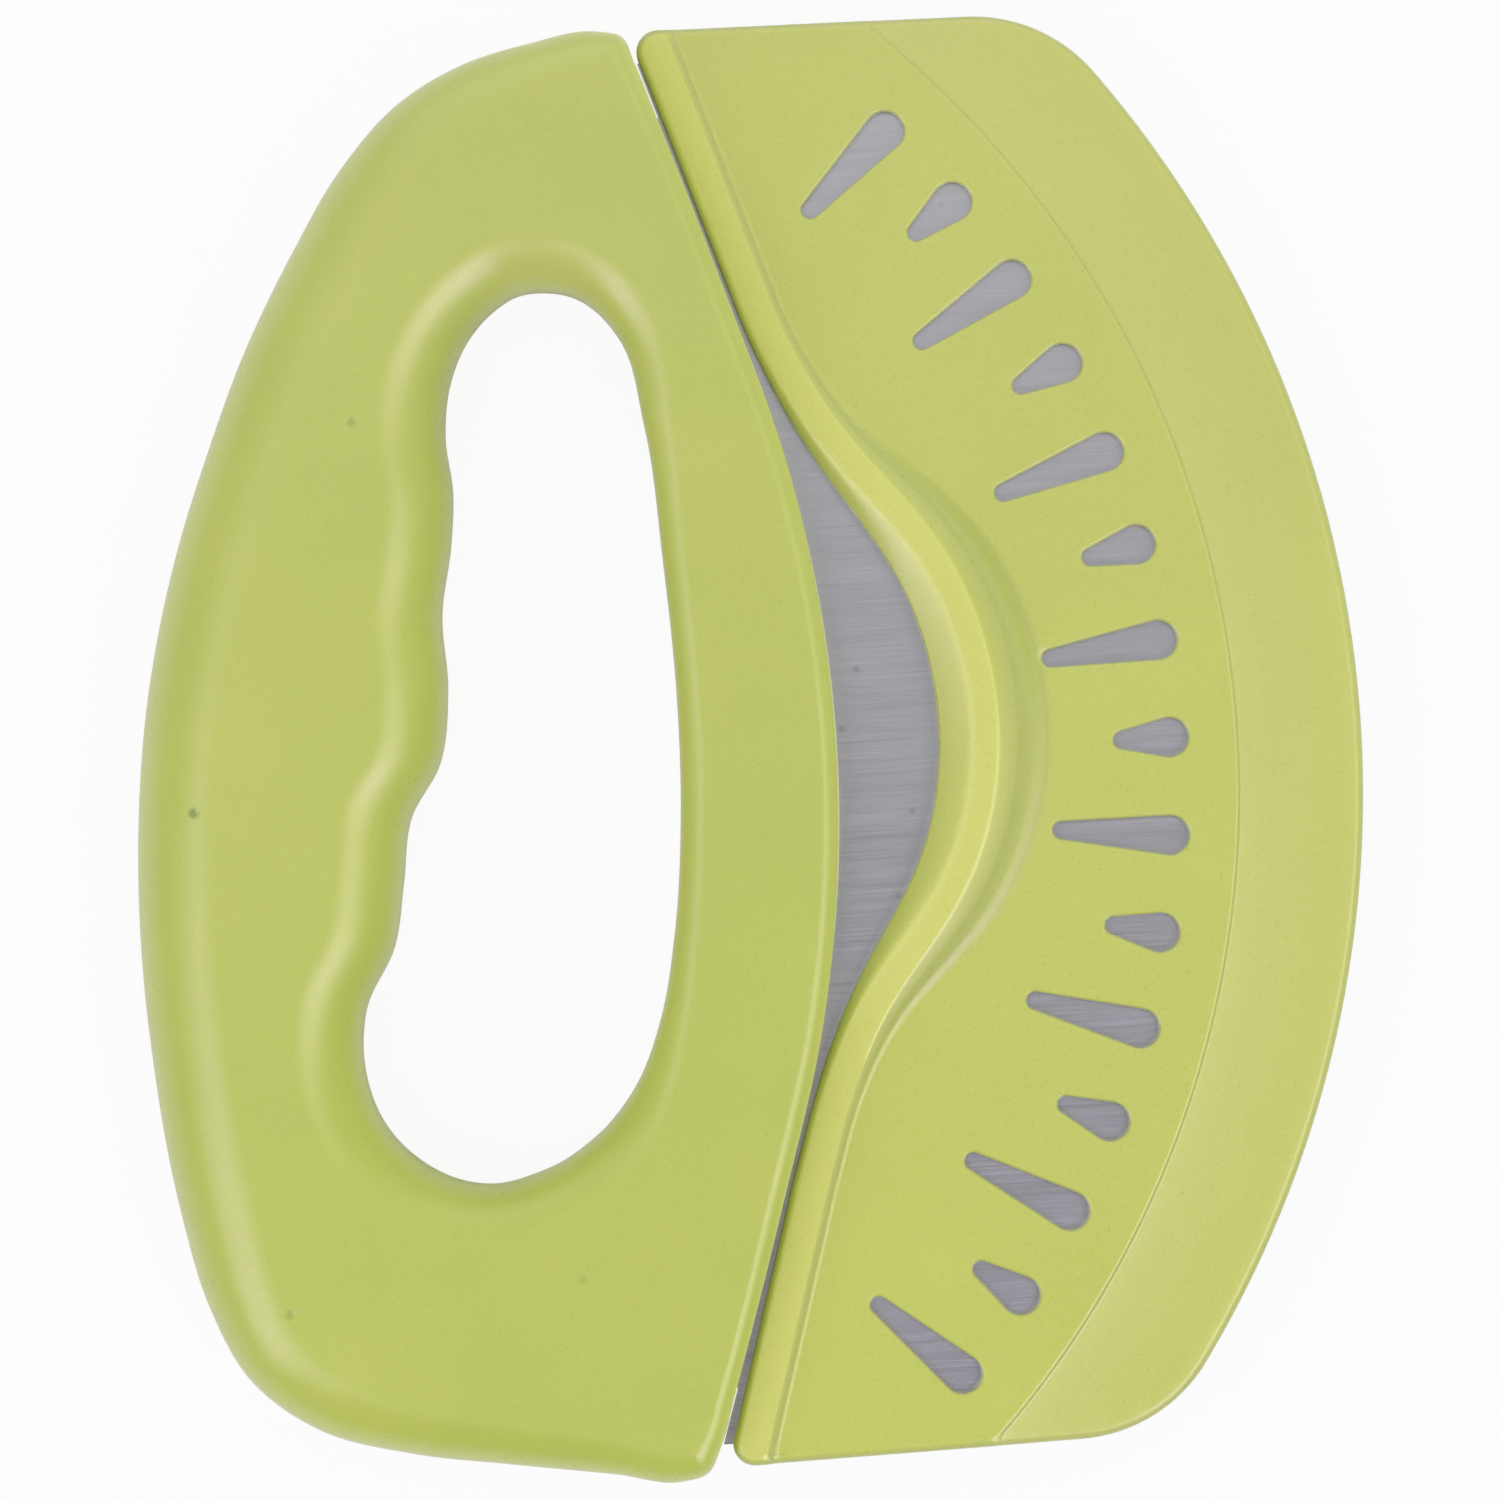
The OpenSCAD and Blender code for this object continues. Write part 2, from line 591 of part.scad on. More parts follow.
// Bead along the mouth, which rises in the middle into the thumb lip: a wall and a ramp up from
// the blade, a flat crest, a slope and a hollow that runs out into the panel
function bead_section(y) =
    let (
        lift = scoop(y),
        crest = mix(bead_t, lip_t, lift) / 2,
        foot = crest_w / 4,
        ramp = mix(foot, ramp_w, lift),
        back = ramp + crest_w,
        slope = mix(foot, slope_w, lift),
        lip = mix(panel_h - step_h, lip_t / 2 - ramp_w * ramp_rise_share, lift)
    )
    concat(
        [for (s = ramp_shares) [ramp * s[0], mix(lip, crest, s[1])]],
        [for (s = crest_shares) [ramp + crest_w * s[0], mix(crest, panel_h, s[1])]],
        [for (s = slope_shares) [back + slope * s[0], mix(crest, panel_h, s[1])]],
        [[back + slope, panel_h - step_h / 4]]
    );
module mouth_bead() {
    half = guard_half + guard_shift + over;
    steps = 44;
    rows = [for (k = [0:steps])
        let (y = mix(-half, half, k / steps), across = mouth_in(y), upper = bead_section(y))
        [for (p = concat(upper, [for (p = reversed(upper)) [p[0], -p[1]]]))
            [mouth_x(y) + across[0] * p[0], y + across[1] * p[0], p[1]]]];
    capped_rows(rows);
}

// The pocket: the blade's own outline and bevel, with a gap all round
module pocket() {
    half = blade_t / 2 + pocket_gap;
    intersection() {
        translate([0, 0, -half]) linear_extrude(2 * half) blade_outline(pocket_gap);
        translate([arc_centre[0], arc_centre[1], -half])
            cylinder(r = edge_radius + pocket_gap, h = 2 * half, $fn = arc_facets);
    }
}

// A fan of rounded windows through the panel, long and short in turn
module windows() {
    window_out = step_radius - window_margin;
    half_angle = asin((guard_half - window_end_gap) / window_out);
    for (k = [0:window_count - 1]) {
        tip = window_out - (k % 2 == 0 ? window_len : window_short_len);
        translate(arc_centre)
            rotate(mix(-half_angle, half_angle, k / (window_count - 1)))
            translate([0, 0, -panel_t]) hull() {
                translate([tip + window_tip_w / 2, 0, 0])
                    cylinder(d = window_tip_w, h = 2 * panel_t, $fn = window_facets);
                translate([window_out - window_w / 2, 0, 0])
                    cylinder(d = window_w, h = 2 * panel_t, $fn = window_facets);
            }
    }
}

module blade_guard() {
    color([0.78, 0.84, 0.42]) translate([0, 0, mid_z]) difference() {
        intersection() {
            guard_trim();
            union() {
                guard_panel();
                mouth_bead();
            }
        }
        pocket();
        windows();
    }
}

blade();
handle_core_front();
handle_core_back();
grip_skin_front();
grip_skin_back();
tang_rivet(1);  // tang_rivet_1
tang_rivet(2);  // tang_rivet_2
tang_rivet(3);  // tang_rivet_3
tang_rivet(4);  // tang_rivet_4
tang_rivet(5);  // tang_rivet_5
blade_guard();
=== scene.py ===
"""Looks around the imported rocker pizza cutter: its ring handle, blade and slide-off guard.

X runs from the grip to the cutting edge, Y along the blade and Z up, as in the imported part.
Sizes are written in millimetres, and MM turns them into Blender's metres.
"""
from collections import namedtuple
from math import acos, asin, atan2, cos, pi, radians, sin, sqrt, tan

import bmesh
import bpy
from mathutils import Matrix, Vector
from mathutils.geometry import delaunay_2d_cdt


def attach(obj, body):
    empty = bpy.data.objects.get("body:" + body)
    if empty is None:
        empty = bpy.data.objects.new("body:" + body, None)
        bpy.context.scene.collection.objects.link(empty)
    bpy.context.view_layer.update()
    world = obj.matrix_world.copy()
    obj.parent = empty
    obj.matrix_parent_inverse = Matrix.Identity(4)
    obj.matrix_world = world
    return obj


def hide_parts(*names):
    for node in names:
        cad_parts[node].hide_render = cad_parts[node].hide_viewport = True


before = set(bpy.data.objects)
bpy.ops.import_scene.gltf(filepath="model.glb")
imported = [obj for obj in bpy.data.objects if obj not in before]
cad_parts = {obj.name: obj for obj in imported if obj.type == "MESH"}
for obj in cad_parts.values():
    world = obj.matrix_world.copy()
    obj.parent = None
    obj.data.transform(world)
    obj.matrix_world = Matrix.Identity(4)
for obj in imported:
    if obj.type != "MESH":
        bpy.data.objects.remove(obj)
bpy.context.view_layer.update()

MM = 0.001

# ---- Sizes of the real cutter, in mm ------------------------------------------------------

HANDLE_LEN = 200
HANDLE_DEPTH = 97.7
HANDLE_T = 25
FRONT_RADIUS = 175
FLANK_ANGLE = radians(17.8)
BAR_W = 21.6
OPENING_LEN = 122.8
OPENING_DEPTH = 46.3
OPENING_SHIFT = 3.6
SKIN_T = 2.5
FRONT_ROLL, GRIP_ROLL = 2.5, 10.5
BAR_ROLL, FINGER_ROLL = 3.5, 10
ROLL_HEIGHT_SHARE = 1.05
TIER_SHARE, TIER_INSET_SHARE, TIER_STEP_SHARE = 0.46, 0.75, 0.4
SEAM_BREAK = 0.2
WALL_SHARE = 0.9           # how far up the upright wall its last row lies

BLADE_T = 1.2
BLADE_INSET = 4.3
BLADE_CORNER = 17
TANG_INSET = 12
FIT_GAP = 0.05
POCKET_GAP = 0.3

GUARD_REACH = 72.6
RIM_RADIUS = 152.7
RIM_WALL = 4.9
GUARD_INSET = 0.6
GUARD_SHIFT = 0.6
ARC_DROP = 1.9
END_ANGLE = radians(1.6)
GUARD_CORNER = 22
MOUTH_CORNER = 3
PANEL_T = 6
BAND_W = 17.5
STEP_H = 0.5
BAND_FALL = 0.6
GUARD_ROUND = 1.2
MOUTH_GAP, MOUTH_GAP_LOW, GAP_FROM_SHARE = 0.6, 1.6, 0.6
SCOOP_DEPTH, SCOOP_ABOVE, SCOOP_BELOW, SCOOP_SHIFT = 13.6, 58, 55.5, 2.5
SCOOP_FLANK_SHARE = 0.045
WINDOW_MARGIN = 6.5
WINDOW_LEN, WINDOW_SHORT_LEN = 18.9, 10.4
WINDOW_W, WINDOW_TIP_W = 5.4, 2.4
WINDOW_COUNT = 15
WINDOW_END_GAP = 11.5
WINDOW_ROUND = 0.45

MID_Z = HANDLE_T / 2
APEX_X = (HANDLE_DEPTH - GUARD_REACH) / 2
ARC_CENTRE = Vector((APEX_X + GUARD_REACH - RIM_RADIUS, -ARC_DROP))
EDGE_RADIUS = RIM_RADIUS - RIM_WALL
STEP_RADIUS = RIM_RADIUS - BAND_W
BLADE_HALF = HANDLE_LEN / 2 - BLADE_INSET
TANG_HALF = HANDLE_LEN / 2 - TANG_INSET
SLOT_HALF = TANG_HALF + FIT_GAP
GUARD_HALF = HANDLE_LEN / 2 - GUARD_INSET
OPENING_X = APEX_X - BAR_W
PANEL_H = PANEL_T / 2
POCKET_H = BLADE_T / 2 + POCKET_GAP

# Each row: share of the depth behind the front, share of the half length, growth of the rounding
OUTER_SHARES = [
    (0.225, 0.955, 0.05), (0.24, 0.99, 0.15), (0.272, 1, 0.3), (0.375, 0.99, 0.5),
    (0.465, 0.969, 0.65), (0.56, 0.922, 0.8), (0.65, 0.835, 0.95), (0.725, 0.725, 1),
    (0.805, 0.585, 1), (0.865, 0.45, 1), (0.91, 0.335, 1), (0.947, 0.215, 1),
    (0.973, 0.1, 1), (0.99, -0.02, 1), (0.999, -0.15, 1), (0.999, -0.28, 1),
    (0.993, -0.38, 1), (0.983, -0.485, 1), (0.965, -0.6, 1), (0.935, -0.722, 0.95),
    (0.88, -0.83, 0.85), (0.79, -0.9, 0.75), (0.66, -0.94, 0.6), (0.52, -0.963, 0.5),
    (0.375, -0.985, 0.4), (0.28, -1, 0.25), (0.245, -0.99, 0.15), (0.225, -0.955, 0.05)]
BAR_SIDE_SHARES = [
    (0.2, -0.805, 0.3), (0.11, -0.655, 0.1), (0.05, -0.46, 0), (0.01, -0.195, 0),
    (0, 0.09, 0), (0.016, 0.38, 0), (0.045, 0.675, 0.1), (0.117, 0.9, 0.35)]
GRIP_SIDE_SHARES = [
    (0.178, 0.956, 0.5), (0.222, 0.98, 0.55), (0.265, 0.993, 0.6), (0.33, 1, 0.7),
    (0.4, 0.995, 0.8), (0.468, 0.968, 0.85), (0.556, 0.902, 0.9), (0.615, 0.812, 1),
    (0.642, 0.69, 1), (0.63, 0.56, 1), (0.645, 0.445, 1), (0.685, 0.29, 1),
    (0.682, 0.115, 1), (0.72, -0.048, 1), (0.815, -0.165, 1), (0.85, -0.31, 1),
    (0.888, -0.45, 1), (0.985, -0.59, 1), (1, -0.72, 1), (0.943, -0.858, 0.95),
    (0.845, -0.94, 0.9), (0.74, -0.985, 0.85), (0.62, -1, 0.8), (0.52, -0.985, 0.7),
    (0.43, -0.96, 0.6), (0.345, -0.92, 0.5), (0.295, -0.89, 0.45), (0.245, -0.85, 0.4)]

STATION_STEPS = 9          # stations between two rows of the handle
FAIR_SPAN = 15             # stations over which its direction is taken
ROLL_STEPS = 14
LAND_STEP = 0.5            # flat ring beside a rounding, so that the land shades flat
LAND_AREA = 2.5            # a level face of the skin over this area in mm2 belongs to the land
LEVEL_NORMAL = 0.999999    # upright share of a normal, over which a face counts as level
SHARP_ANGLE = radians(22)

# Marks that the locating pins of the mould left in the front skin, and how plain each one is
PIN_MARKS = [(-51.2, 48.3, 0.5), (-76.3, -3.9, 1), (-67.3, -73.4, 0.5), (-26.8, -71.1, 0.3)]
PIN_MARK_D, PIN_MARK_DEPTH = 1.5, 0.16
PIN_SEGMENTS, PIN_RINGS = 32, 64


# ---- Helpers ------------------------------------------------------------------------------

def mix(a, b, share):
    return a + (b - a) * share


def on_ray(p, u, c, r):
    """Where a ray from p along u leaves the circle of radius r about c."""
    along = (p - c).dot(u)
    return p + u * (-along + sqrt(along * along - (p - c).length_squared + r * r))


def arc(c, r, start, end, steps):
    return [c + Vector((cos(mix(start, end, k / steps)), sin(mix(start, end, k / steps)))) * r
            for k in range(steps + 1)]


def linked(name, data):
    """A new object of the scene."""
    obj = bpy.data.objects.new(name, data)
    bpy.context.scene.collection.objects.link(obj)
    return obj


def smooth_by_angle(mesh, flat_area):
    """Smooth shading, apart from sharp edges and from level faces over an area in mm2."""
    bm = bmesh.new()
    bm.from_mesh(mesh)
    bmesh.ops.recalc_face_normals(bm, faces=bm.faces)
    for face in bm.faces:
        level = abs(face.normal.z) > LEVEL_NORMAL
        face.smooth = not level or face.calc_area() < flat_area * MM * MM
    for edge in bm.edges:
        edge.smooth = len(edge.link_faces) == 2 and edge.calc_face_angle(0) < SHARP_ANGLE
    bm.to_mesh(mesh)
    bm.free()


def mesh_object(name, points, faces):
    """A mesh from points in mm, whose heights are counted from the part's mid-plane."""
    mesh = bpy.data.meshes.new(name)
    mesh.from_pydata([(p[0] * MM, p[1] * MM, (p[2] + MID_Z) * MM) for p in points], [], faces)
    mesh.validate()
    obj = linked(name, mesh)
    bm = bmesh.new()
    bm.from_mesh(mesh)
    bmesh.ops.recalc_face_normals(bm, faces=bm.faces)
    bm.to_mesh(mesh)
    bm.free()
    return obj


def rows_of_faces(count, length, first=0, close_rows=False):
    """Quads between rows of points, each row a closed ring."""
    faces = []
    for i in range(count if close_rows else count - 1):
        for j in range(length):
            a, b = first + i * length + j, first + i * length + (j + 1) % length
            c = first + ((i + 1) % count) * length + j
            d = first + ((i + 1) % count) * length + (j + 1) % length
            faces.append((a, b, d, c))
    return faces


def lofted(name, rows):
    """A closed solid through rings of points, with a flat cap at each end."""
    length = len(rows[0])
    points = [p for row in rows for p in row]
    faces = rows_of_faces(len(rows), length)
    faces.append(tuple(range(length)))
    faces.append(tuple(range(len(points) - length, len(points))))
    return mesh_object(name, points, faces)


def cut(obj, cutters):
    """Cuts the cutters from obj and removes them."""
    for cutter in cutters:
        modifier = obj.modifiers.new("cut", "BOOLEAN")
        modifier.operation = "DIFFERENCE"
        modifier.solver = "EXACT"
        modifier.object = cutter
        bpy.context.view_layer.update()
        mesh = bpy.data.meshes.new_from_object(
            obj.evaluated_get(bpy.context.evaluated_depsgraph_get()))
        obj.modifiers.clear()
        old = obj.data
        obj.data = mesh
        bpy.data.meshes.remove(old)
        mesh.name = obj.name
        bpy.data.objects.remove(cutter)
    return obj


def dress(obj, material):
    obj.data.materials.clear()
    obj.data.materials.append(material)


def finish_piece(obj, body, material, flat_area, node):
    """Shades a piece, hangs it on the body that carries it, and hides the CAD node that it stands
    for.
    """
    smooth_by_angle(obj.data, flat_area)
    dress(obj, material)
    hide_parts(node)
    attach(obj, body)


# ---- Node trees ---------------------------------------------------------------------------

def colour(hex_code):
    """Linear colour of an sRGB code."""
    parts = [int(hex_code[i:i + 2], 16) / 255 for i in (0, 2, 4)]
    return (*[c / 12.92 if c <= 0.04045 else ((c + 0.055) / 1.055) ** 2.4 for c in parts], 1)


class Tree:
    """The node tree of a material or world, with short calls to add and link nodes."""

    def __init__(self, owner):
        owner.use_nodes = True
        self.tree = owner.node_tree
        self.tree.nodes.clear()

    def add(self, kind, **settings):
        node = self.tree.nodes.new(kind)
        for key, value in settings.items():
            setattr(node, key, value)
        return node

    def link(self, output, socket):
        self.tree.links.new(output, socket)

    def fill(self, socket, value):
        """Gives a socket a plain value, or links the output that it comes from."""
        if isinstance(value, (int, float, tuple)):
            socket.default_value = value
        else:
            self.link(value, socket)

    def axis(self, vector, name):
        node = self.add("ShaderNodeSeparateXYZ")
        self.link(vector, node.inputs[0])
        return node.outputs[name]

    def distance(self, vector, place):
        node = self.add("ShaderNodeVectorMath", operation="DISTANCE")
        self.link(vector, node.inputs[0])
        node.inputs[1].default_value = place
        return node.outputs["Value"]

    def ramp(self, value, low, high, to_low=0.0, to_high=1.0, kind="LINEAR"):
        node = self.add("ShaderNodeMapRange", interpolation_type=kind)
        self.link(value, node.inputs["Value"])
        for name, number in (("From Min", low), ("From Max", high),
                             ("To Min", to_low), ("To Max", to_high)):
            node.inputs[name].default_value = number
        return node.outputs[0]

    def math(self, operation, a, b=0):
        node = self.add("ShaderNodeMath", operation=operation)
        self.fill(node.inputs[0], a)
        self.fill(node.inputs[1], b)
        return node.outputs[0]

    def show_white(self, plain, white, share, output):
        """Ends the tree with a plain shader, over which the camera sees a share of a white one."""
        blend = self.add("ShaderNodeMixShader")
        seen = self.add("ShaderNodeLightPath").outputs["Is Camera Ray"]
        self.link(self.math("MULTIPLY", seen, share), blend.inputs[0])
        self.link(plain.outputs[0], blend.inputs[1])
        self.link(white.outputs[0], blend.inputs[2])
        self.link(blend.outputs[0], self.add(output).inputs["Surface"])


class Nodes(Tree):
    """The tree of a piece's material, with its shader and its place on the object."""

    def __init__(self, name):
        self.material = bpy.data.materials.new(name)
        super().__init__(self.material)
        self.shader = self.add("ShaderNodeBsdfPrincipled")
        output = self.add("ShaderNodeOutputMaterial")
        self.link(self.shader.outputs[0], output.inputs["Surface"])
        self.place = self.add("ShaderNodeTexCoord").outputs["Object"]

    def noise(self, size, detail=2, roughness=0.5):
        """Noise with features of a size in mm, or with its own count a metre for each axis."""
        node = self.add("ShaderNodeTexNoise")
        if isinstance(size, tuple):
            stretch = self.add("ShaderNodeMapping")
            stretch.inputs["Scale"].default_value = size
            self.link(self.place, stretch.inputs["Vector"])
            self.link(stretch.outputs[0], node.inputs["Vector"])
            node.inputs["Scale"].default_value = 1
        else:
            self.link(self.place, node.inputs["Vector"])
            node.inputs["Scale"].default_value = 1 / (size * MM)
        node.inputs["Detail"].default_value = detail
        node.inputs["Roughness"].default_value = roughness
        return node.outputs["Fac"]

    def cell_distance(self, size):
        """Distance from the middle of the nearest cell, as a share of the cells' size in mm."""
        node = self.add("ShaderNodeTexVoronoi", feature="F1")
        node.inputs["Scale"].default_value = 1 / (size * MM)
        self.link(self.place, node.inputs["Vector"])
        return node.outputs["Distance"]

    def level(self):
        """1 where the piece is level, 0 where it is upright."""
        normal = self.add("ShaderNodeTexCoord").outputs["Normal"]
        return self.math("ABSOLUTE", self.axis(normal, "Z"))

    def away_from(self, x, y):
        """Distance in mm from an upright line through a place in mm."""
        flat = self.add("ShaderNodeVectorMath", operation="MULTIPLY")
        flat.inputs[1].default_value = (1 / MM, 1 / MM, 0)
        self.link(self.place, flat.inputs[0])
        return self.distance(flat.outputs[0], (x, y, 0))

    def blend(self, factor, a, b):
        node = self.add("ShaderNodeMix", data_type="RGBA", blend_type="MIX")
        self.link(factor, node.inputs["Factor"])
        for name, value in (("A", a), ("B", b)):
            socket = next(s for s in node.inputs if s.name == name and s.type == "RGBA")
            self.fill(socket, value)
        return next(s for s in node.outputs if s.type == "RGBA")

    def bump(self, height, depth, below=None):
        """Bumps of a depth in mm."""
        node = self.add("ShaderNodeBump")
        node.inputs["Strength"].default_value = 1.0
        node.inputs["Distance"].default_value = depth * MM
        self.link(height, node.inputs["Height"])
        if below is not None:
            self.link(below, node.inputs["Normal"])
        return node.outputs[0]

    def set(self, **values):
        """Fills sockets of the shader, by their names with _ for each space."""
        for name, value in values.items():
            self.fill(self.shader.inputs[name.replace("_", " ")], value)


# ---- Materials, with the sizes of their features in mm ------------------------------------

NOISE_SPREAD = 0.3, 0.7    # between these lie most values of a noise
CLOUD_SIZE = 26
FLOW_COUNTS, FLOW_SHARE = (90, 14, 60), 0.35
# Pale colour of the painted light that grows towards the upper end
PAINTED_TOP_LIGHT_COLOUR = "F5EBC4"
SWELL_SIZE, SWELL_DEPTH = 9, 0.06
GRAIN_DETAIL, GRAIN_ROUGHNESS = 3, 0.6
SMOOTHER, ROUGHER = 0.05, 0.06

# Painted light: the pale tint of the skin's sides, by how level they are
EDGE_GLOW_COLOUR, EDGE_GLOW_FADE = "DFE49A", (0.25, 0.75, 0.34, 0)
PIN_COLOUR, PIN_SHARE = "5E7A2C", 0.62
PIN_CORE, PIN_REACH = PIN_MARK_D * 0.25, PIN_MARK_D * 0.6

# Tints of the guard: painted shade on steep faces, a painted highlight on the crest, painted shade
# in the hollow behind the lip, and a paler outer band. The fades give where they start and end, and
# the shares there: by how level the face is, by the height over the panel, and by the distance past
# the step or the rim.
# Painted shade: steep faces of the guard duller and greyer than level ones
STEEP_SHADE_COLOUR, STEEP_SHADE_FADE = "ADB478", (0.78, 0.95, 0.4, 0)
# Painted highlight: a lighter crest on the bead, by its height and how level it is
CREST_HIGHLIGHT_COLOUR, CREST_HIGHLIGHT_FADE, CREST_HIGHLIGHT_LEVEL = "DBE06C", (0.45, 1.0, 0, 0.6), (0.86, 0.97)
# Painted shade: a darker hollow behind the lip, where the lip shades it, fading away from its
# middle
HOLLOW_SHADE_COLOUR, HOLLOW_SHADE_START, HOLLOW_SHADE_FADE = "90A02A", (0, 0.1, 0, 1), (0.3, 0.95, 0.44, 0)
HOLLOW_SHADE_PLACE, HOLLOW_SHADE_REACH, HOLLOW_SHADE_CORE_SHARE = (38, -1), 52, 0.6
BAND_COLOUR, BAND_START, BAND_END = "CCCA78", (0.8, 0, 0.19), (-9, 1, 0.35)

FINE_BRUSH, BROAD_BRUSH, FINE_SHARE, BROAD_SHARE = (90, 9000, 90), (35, 1900, 35), 0.65, 0.35
BRUSH_SMOOTHER, BRUSH_ROUGHER, BRUSH_DEPTH = 0.04, 0.05, 0.0015
DENT_COLOUR, DENT_SPACING, DENT_EDGE, DENT_SHARE = "8C8D93", 7.5, (0.03, 0.09), 0.3

CORE_CLOUD_SIZE, CORE_PEEL_SIZE, CORE_PEEL_DEPTH = 15, 0.9, 0.02
CORE_SPREAD, CORE_ROUGH_SIZE, CORE_ROUGH = (0.35, 0.65), 3, (0.38, 0.5)


def grained_plastic(name, base, light, dark, grain, depth, rough, painted_top_light, sheen, details):
    """Moulded plastic: a fine spark-eroded grain, faint flow clouds and a soft sheen.

    Towards the upper end grows a faint pale tint, as strong as the share given: painted light that
    stands in for a bright wall beyond that end; details adds the tints of one piece, painted light
    and shade among them.
    """
    n = Nodes(name)
    tint = n.blend(n.ramp(n.noise(CLOUD_SIZE), *NOISE_SPREAD), colour(dark), colour(light))
    flow = n.ramp(n.noise(FLOW_COUNTS), *NOISE_SPREAD)
    tint = n.blend(n.math("MULTIPLY", flow, FLOW_SHARE), tint, colour(base))
    half = HANDLE_LEN / 2 * MM
    # Painted light: a pale tint that grows towards the upper end, for a bright wall beyond it
    tint = n.blend(n.ramp(n.axis(n.place, "Y"), -half, half, 0, painted_top_light), tint, colour(PAINTED_TOP_LIGHT_COLOUR))
    swell = n.bump(n.noise(SWELL_SIZE), SWELL_DEPTH)
    n.set(Base_Color=details(n, tint),
          Roughness=n.ramp(n.noise(grain * 2), *NOISE_SPREAD, rough - SMOOTHER, rough + ROUGHER),
          Normal=n.bump(n.noise(grain, GRAIN_DETAIL, GRAIN_ROUGHNESS), depth, below=swell),
          Specular_IOR_Level=0.8, Specular_Tint=(1, 0.88, 1, 1), IOR=1.5,
          Sheen_Weight=sheen, Sheen_Roughness=0.35,
          Subsurface_Weight=0.08, Subsurface_Scale=1.2 * MM, Subsurface_Radius=(1.0, 0.9, 0.35))
    return n.material


def painted_edge_glow(n, tint):
    """Painted light: paler plastic where the surface turns away, down the sides, for the bright
    surroundings they catch.
    """
    return n.blend(n.ramp(n.level(), *EDGE_GLOW_FADE), tint, colour(EDGE_GLOW_COLOUR))


def pin_marks_and_edge_glow(n, tint):
    """The painted pale glow down the sides, and a darker spot on each mark that a pin of the mould
    left.
    """
    tint = painted_edge_glow(n, tint)
    for x, y, plain in PIN_MARKS:
        spot = n.ramp(n.away_from(x, y), PIN_CORE, PIN_REACH, PIN_SHARE * plain, 0)
        tint = n.blend(spot, tint, colour(PIN_COLOUR))
    return tint


def guard_tints(n, tint):
    """Painted shade on steep faces, a painted highlight on the crest and painted shade in the
    hollow behind the lip, with a paler outer band.
    """
    # Painted shade: steep faces duller and greyer
    tint = n.blend(n.ramp(n.level(), *STEEP_SHADE_FADE), tint, colour(STEEP_SHADE_COLOUR))
    over_mid = n.math("ABSOLUTE", n.math("SUBTRACT", n.axis(n.place, "Z"), MID_Z * MM))

    def over_panel(low, high, to_low, to_high):
        return n.ramp(over_mid, (PANEL_H + low) * MM, (PANEL_H + high) * MM, to_low, to_high)

    # Painted highlight on the crest of the bead
    crest = n.math("MULTIPLY", over_panel(*CREST_HIGHLIGHT_FADE), n.ramp(n.level(), *CREST_HIGHLIGHT_LEVEL))
    tint = n.blend(crest, tint, colour(CREST_HIGHLIGHT_COLOUR))
    # Painted shade in the hollow behind the middle of the lip
    hollow = n.math("MULTIPLY", over_panel(*HOLLOW_SHADE_START), over_panel(*HOLLOW_SHADE_FADE))
    beside_lip = n.ramp(n.away_from(*HOLLOW_SHADE_PLACE), HOLLOW_SHADE_REACH * HOLLOW_SHADE_CORE_SHARE,
                        HOLLOW_SHADE_REACH, 1, 0)
    tint = n.blend(n.math("MULTIPLY", hollow, beside_lip), tint, colour(HOLLOW_SHADE_COLOUR))
    radius = n.away_from(ARC_CENTRE.x, ARC_CENTRE.y)
    start = n.ramp(radius, STEP_RADIUS, STEP_RADIUS + BAND_START[0], *BAND_START[1:])
    fade = n.ramp(radius, RIM_RADIUS + BAND_END[0], RIM_RADIUS, *BAND_END[1:])
    return n.blend(n.math("MULTIPLY", start, fade), tint, colour(BAND_COLOUR))


def brushed_steel(name, light, dark, rough):
    """Steel brushed along X, with fine lines of several widths and a few small dents."""
    n = Nodes(name)
    lines = n.math("ADD", n.math("MULTIPLY", n.noise(FINE_BRUSH, 3, 0.7), FINE_SHARE),
                   n.math("MULTIPLY", n.noise(BROAD_BRUSH), BROAD_SHARE))
    tint = n.blend(n.ramp(lines, *NOISE_SPREAD), colour(dark), colour(light))
    dents = n.math("SUBTRACT", 1.0, n.ramp(n.cell_distance(DENT_SPACING), *DENT_EDGE))
    tint = n.blend(n.math("MULTIPLY", dents, DENT_SHARE), tint, colour(DENT_COLOUR))
    n.set(Base_Color=tint, Metallic=1.0, Normal=n.bump(lines, BRUSH_DEPTH),
          Roughness=n.ramp(lines, *NOISE_SPREAD, rough - BRUSH_SMOOTHER, rough + BRUSH_ROUGHER))
    return n.material


def moulded_plastic(name, light, dark):
    """Plain moulded plastic of the hidden core: flow clouds and a slight orange peel."""
    n = Nodes(name)
    clouds = n.ramp(n.noise(CORE_CLOUD_SIZE, 3), *CORE_SPREAD)
    n.set(Base_Color=n.blend(clouds, colour(dark), colour(light)),
          Roughness=n.ramp(n.noise(CORE_ROUGH_SIZE), *NOISE_SPREAD, *CORE_ROUGH),
          Normal=n.bump(n.noise(CORE_PEEL_SIZE), CORE_PEEL_DEPTH))
    return n.material


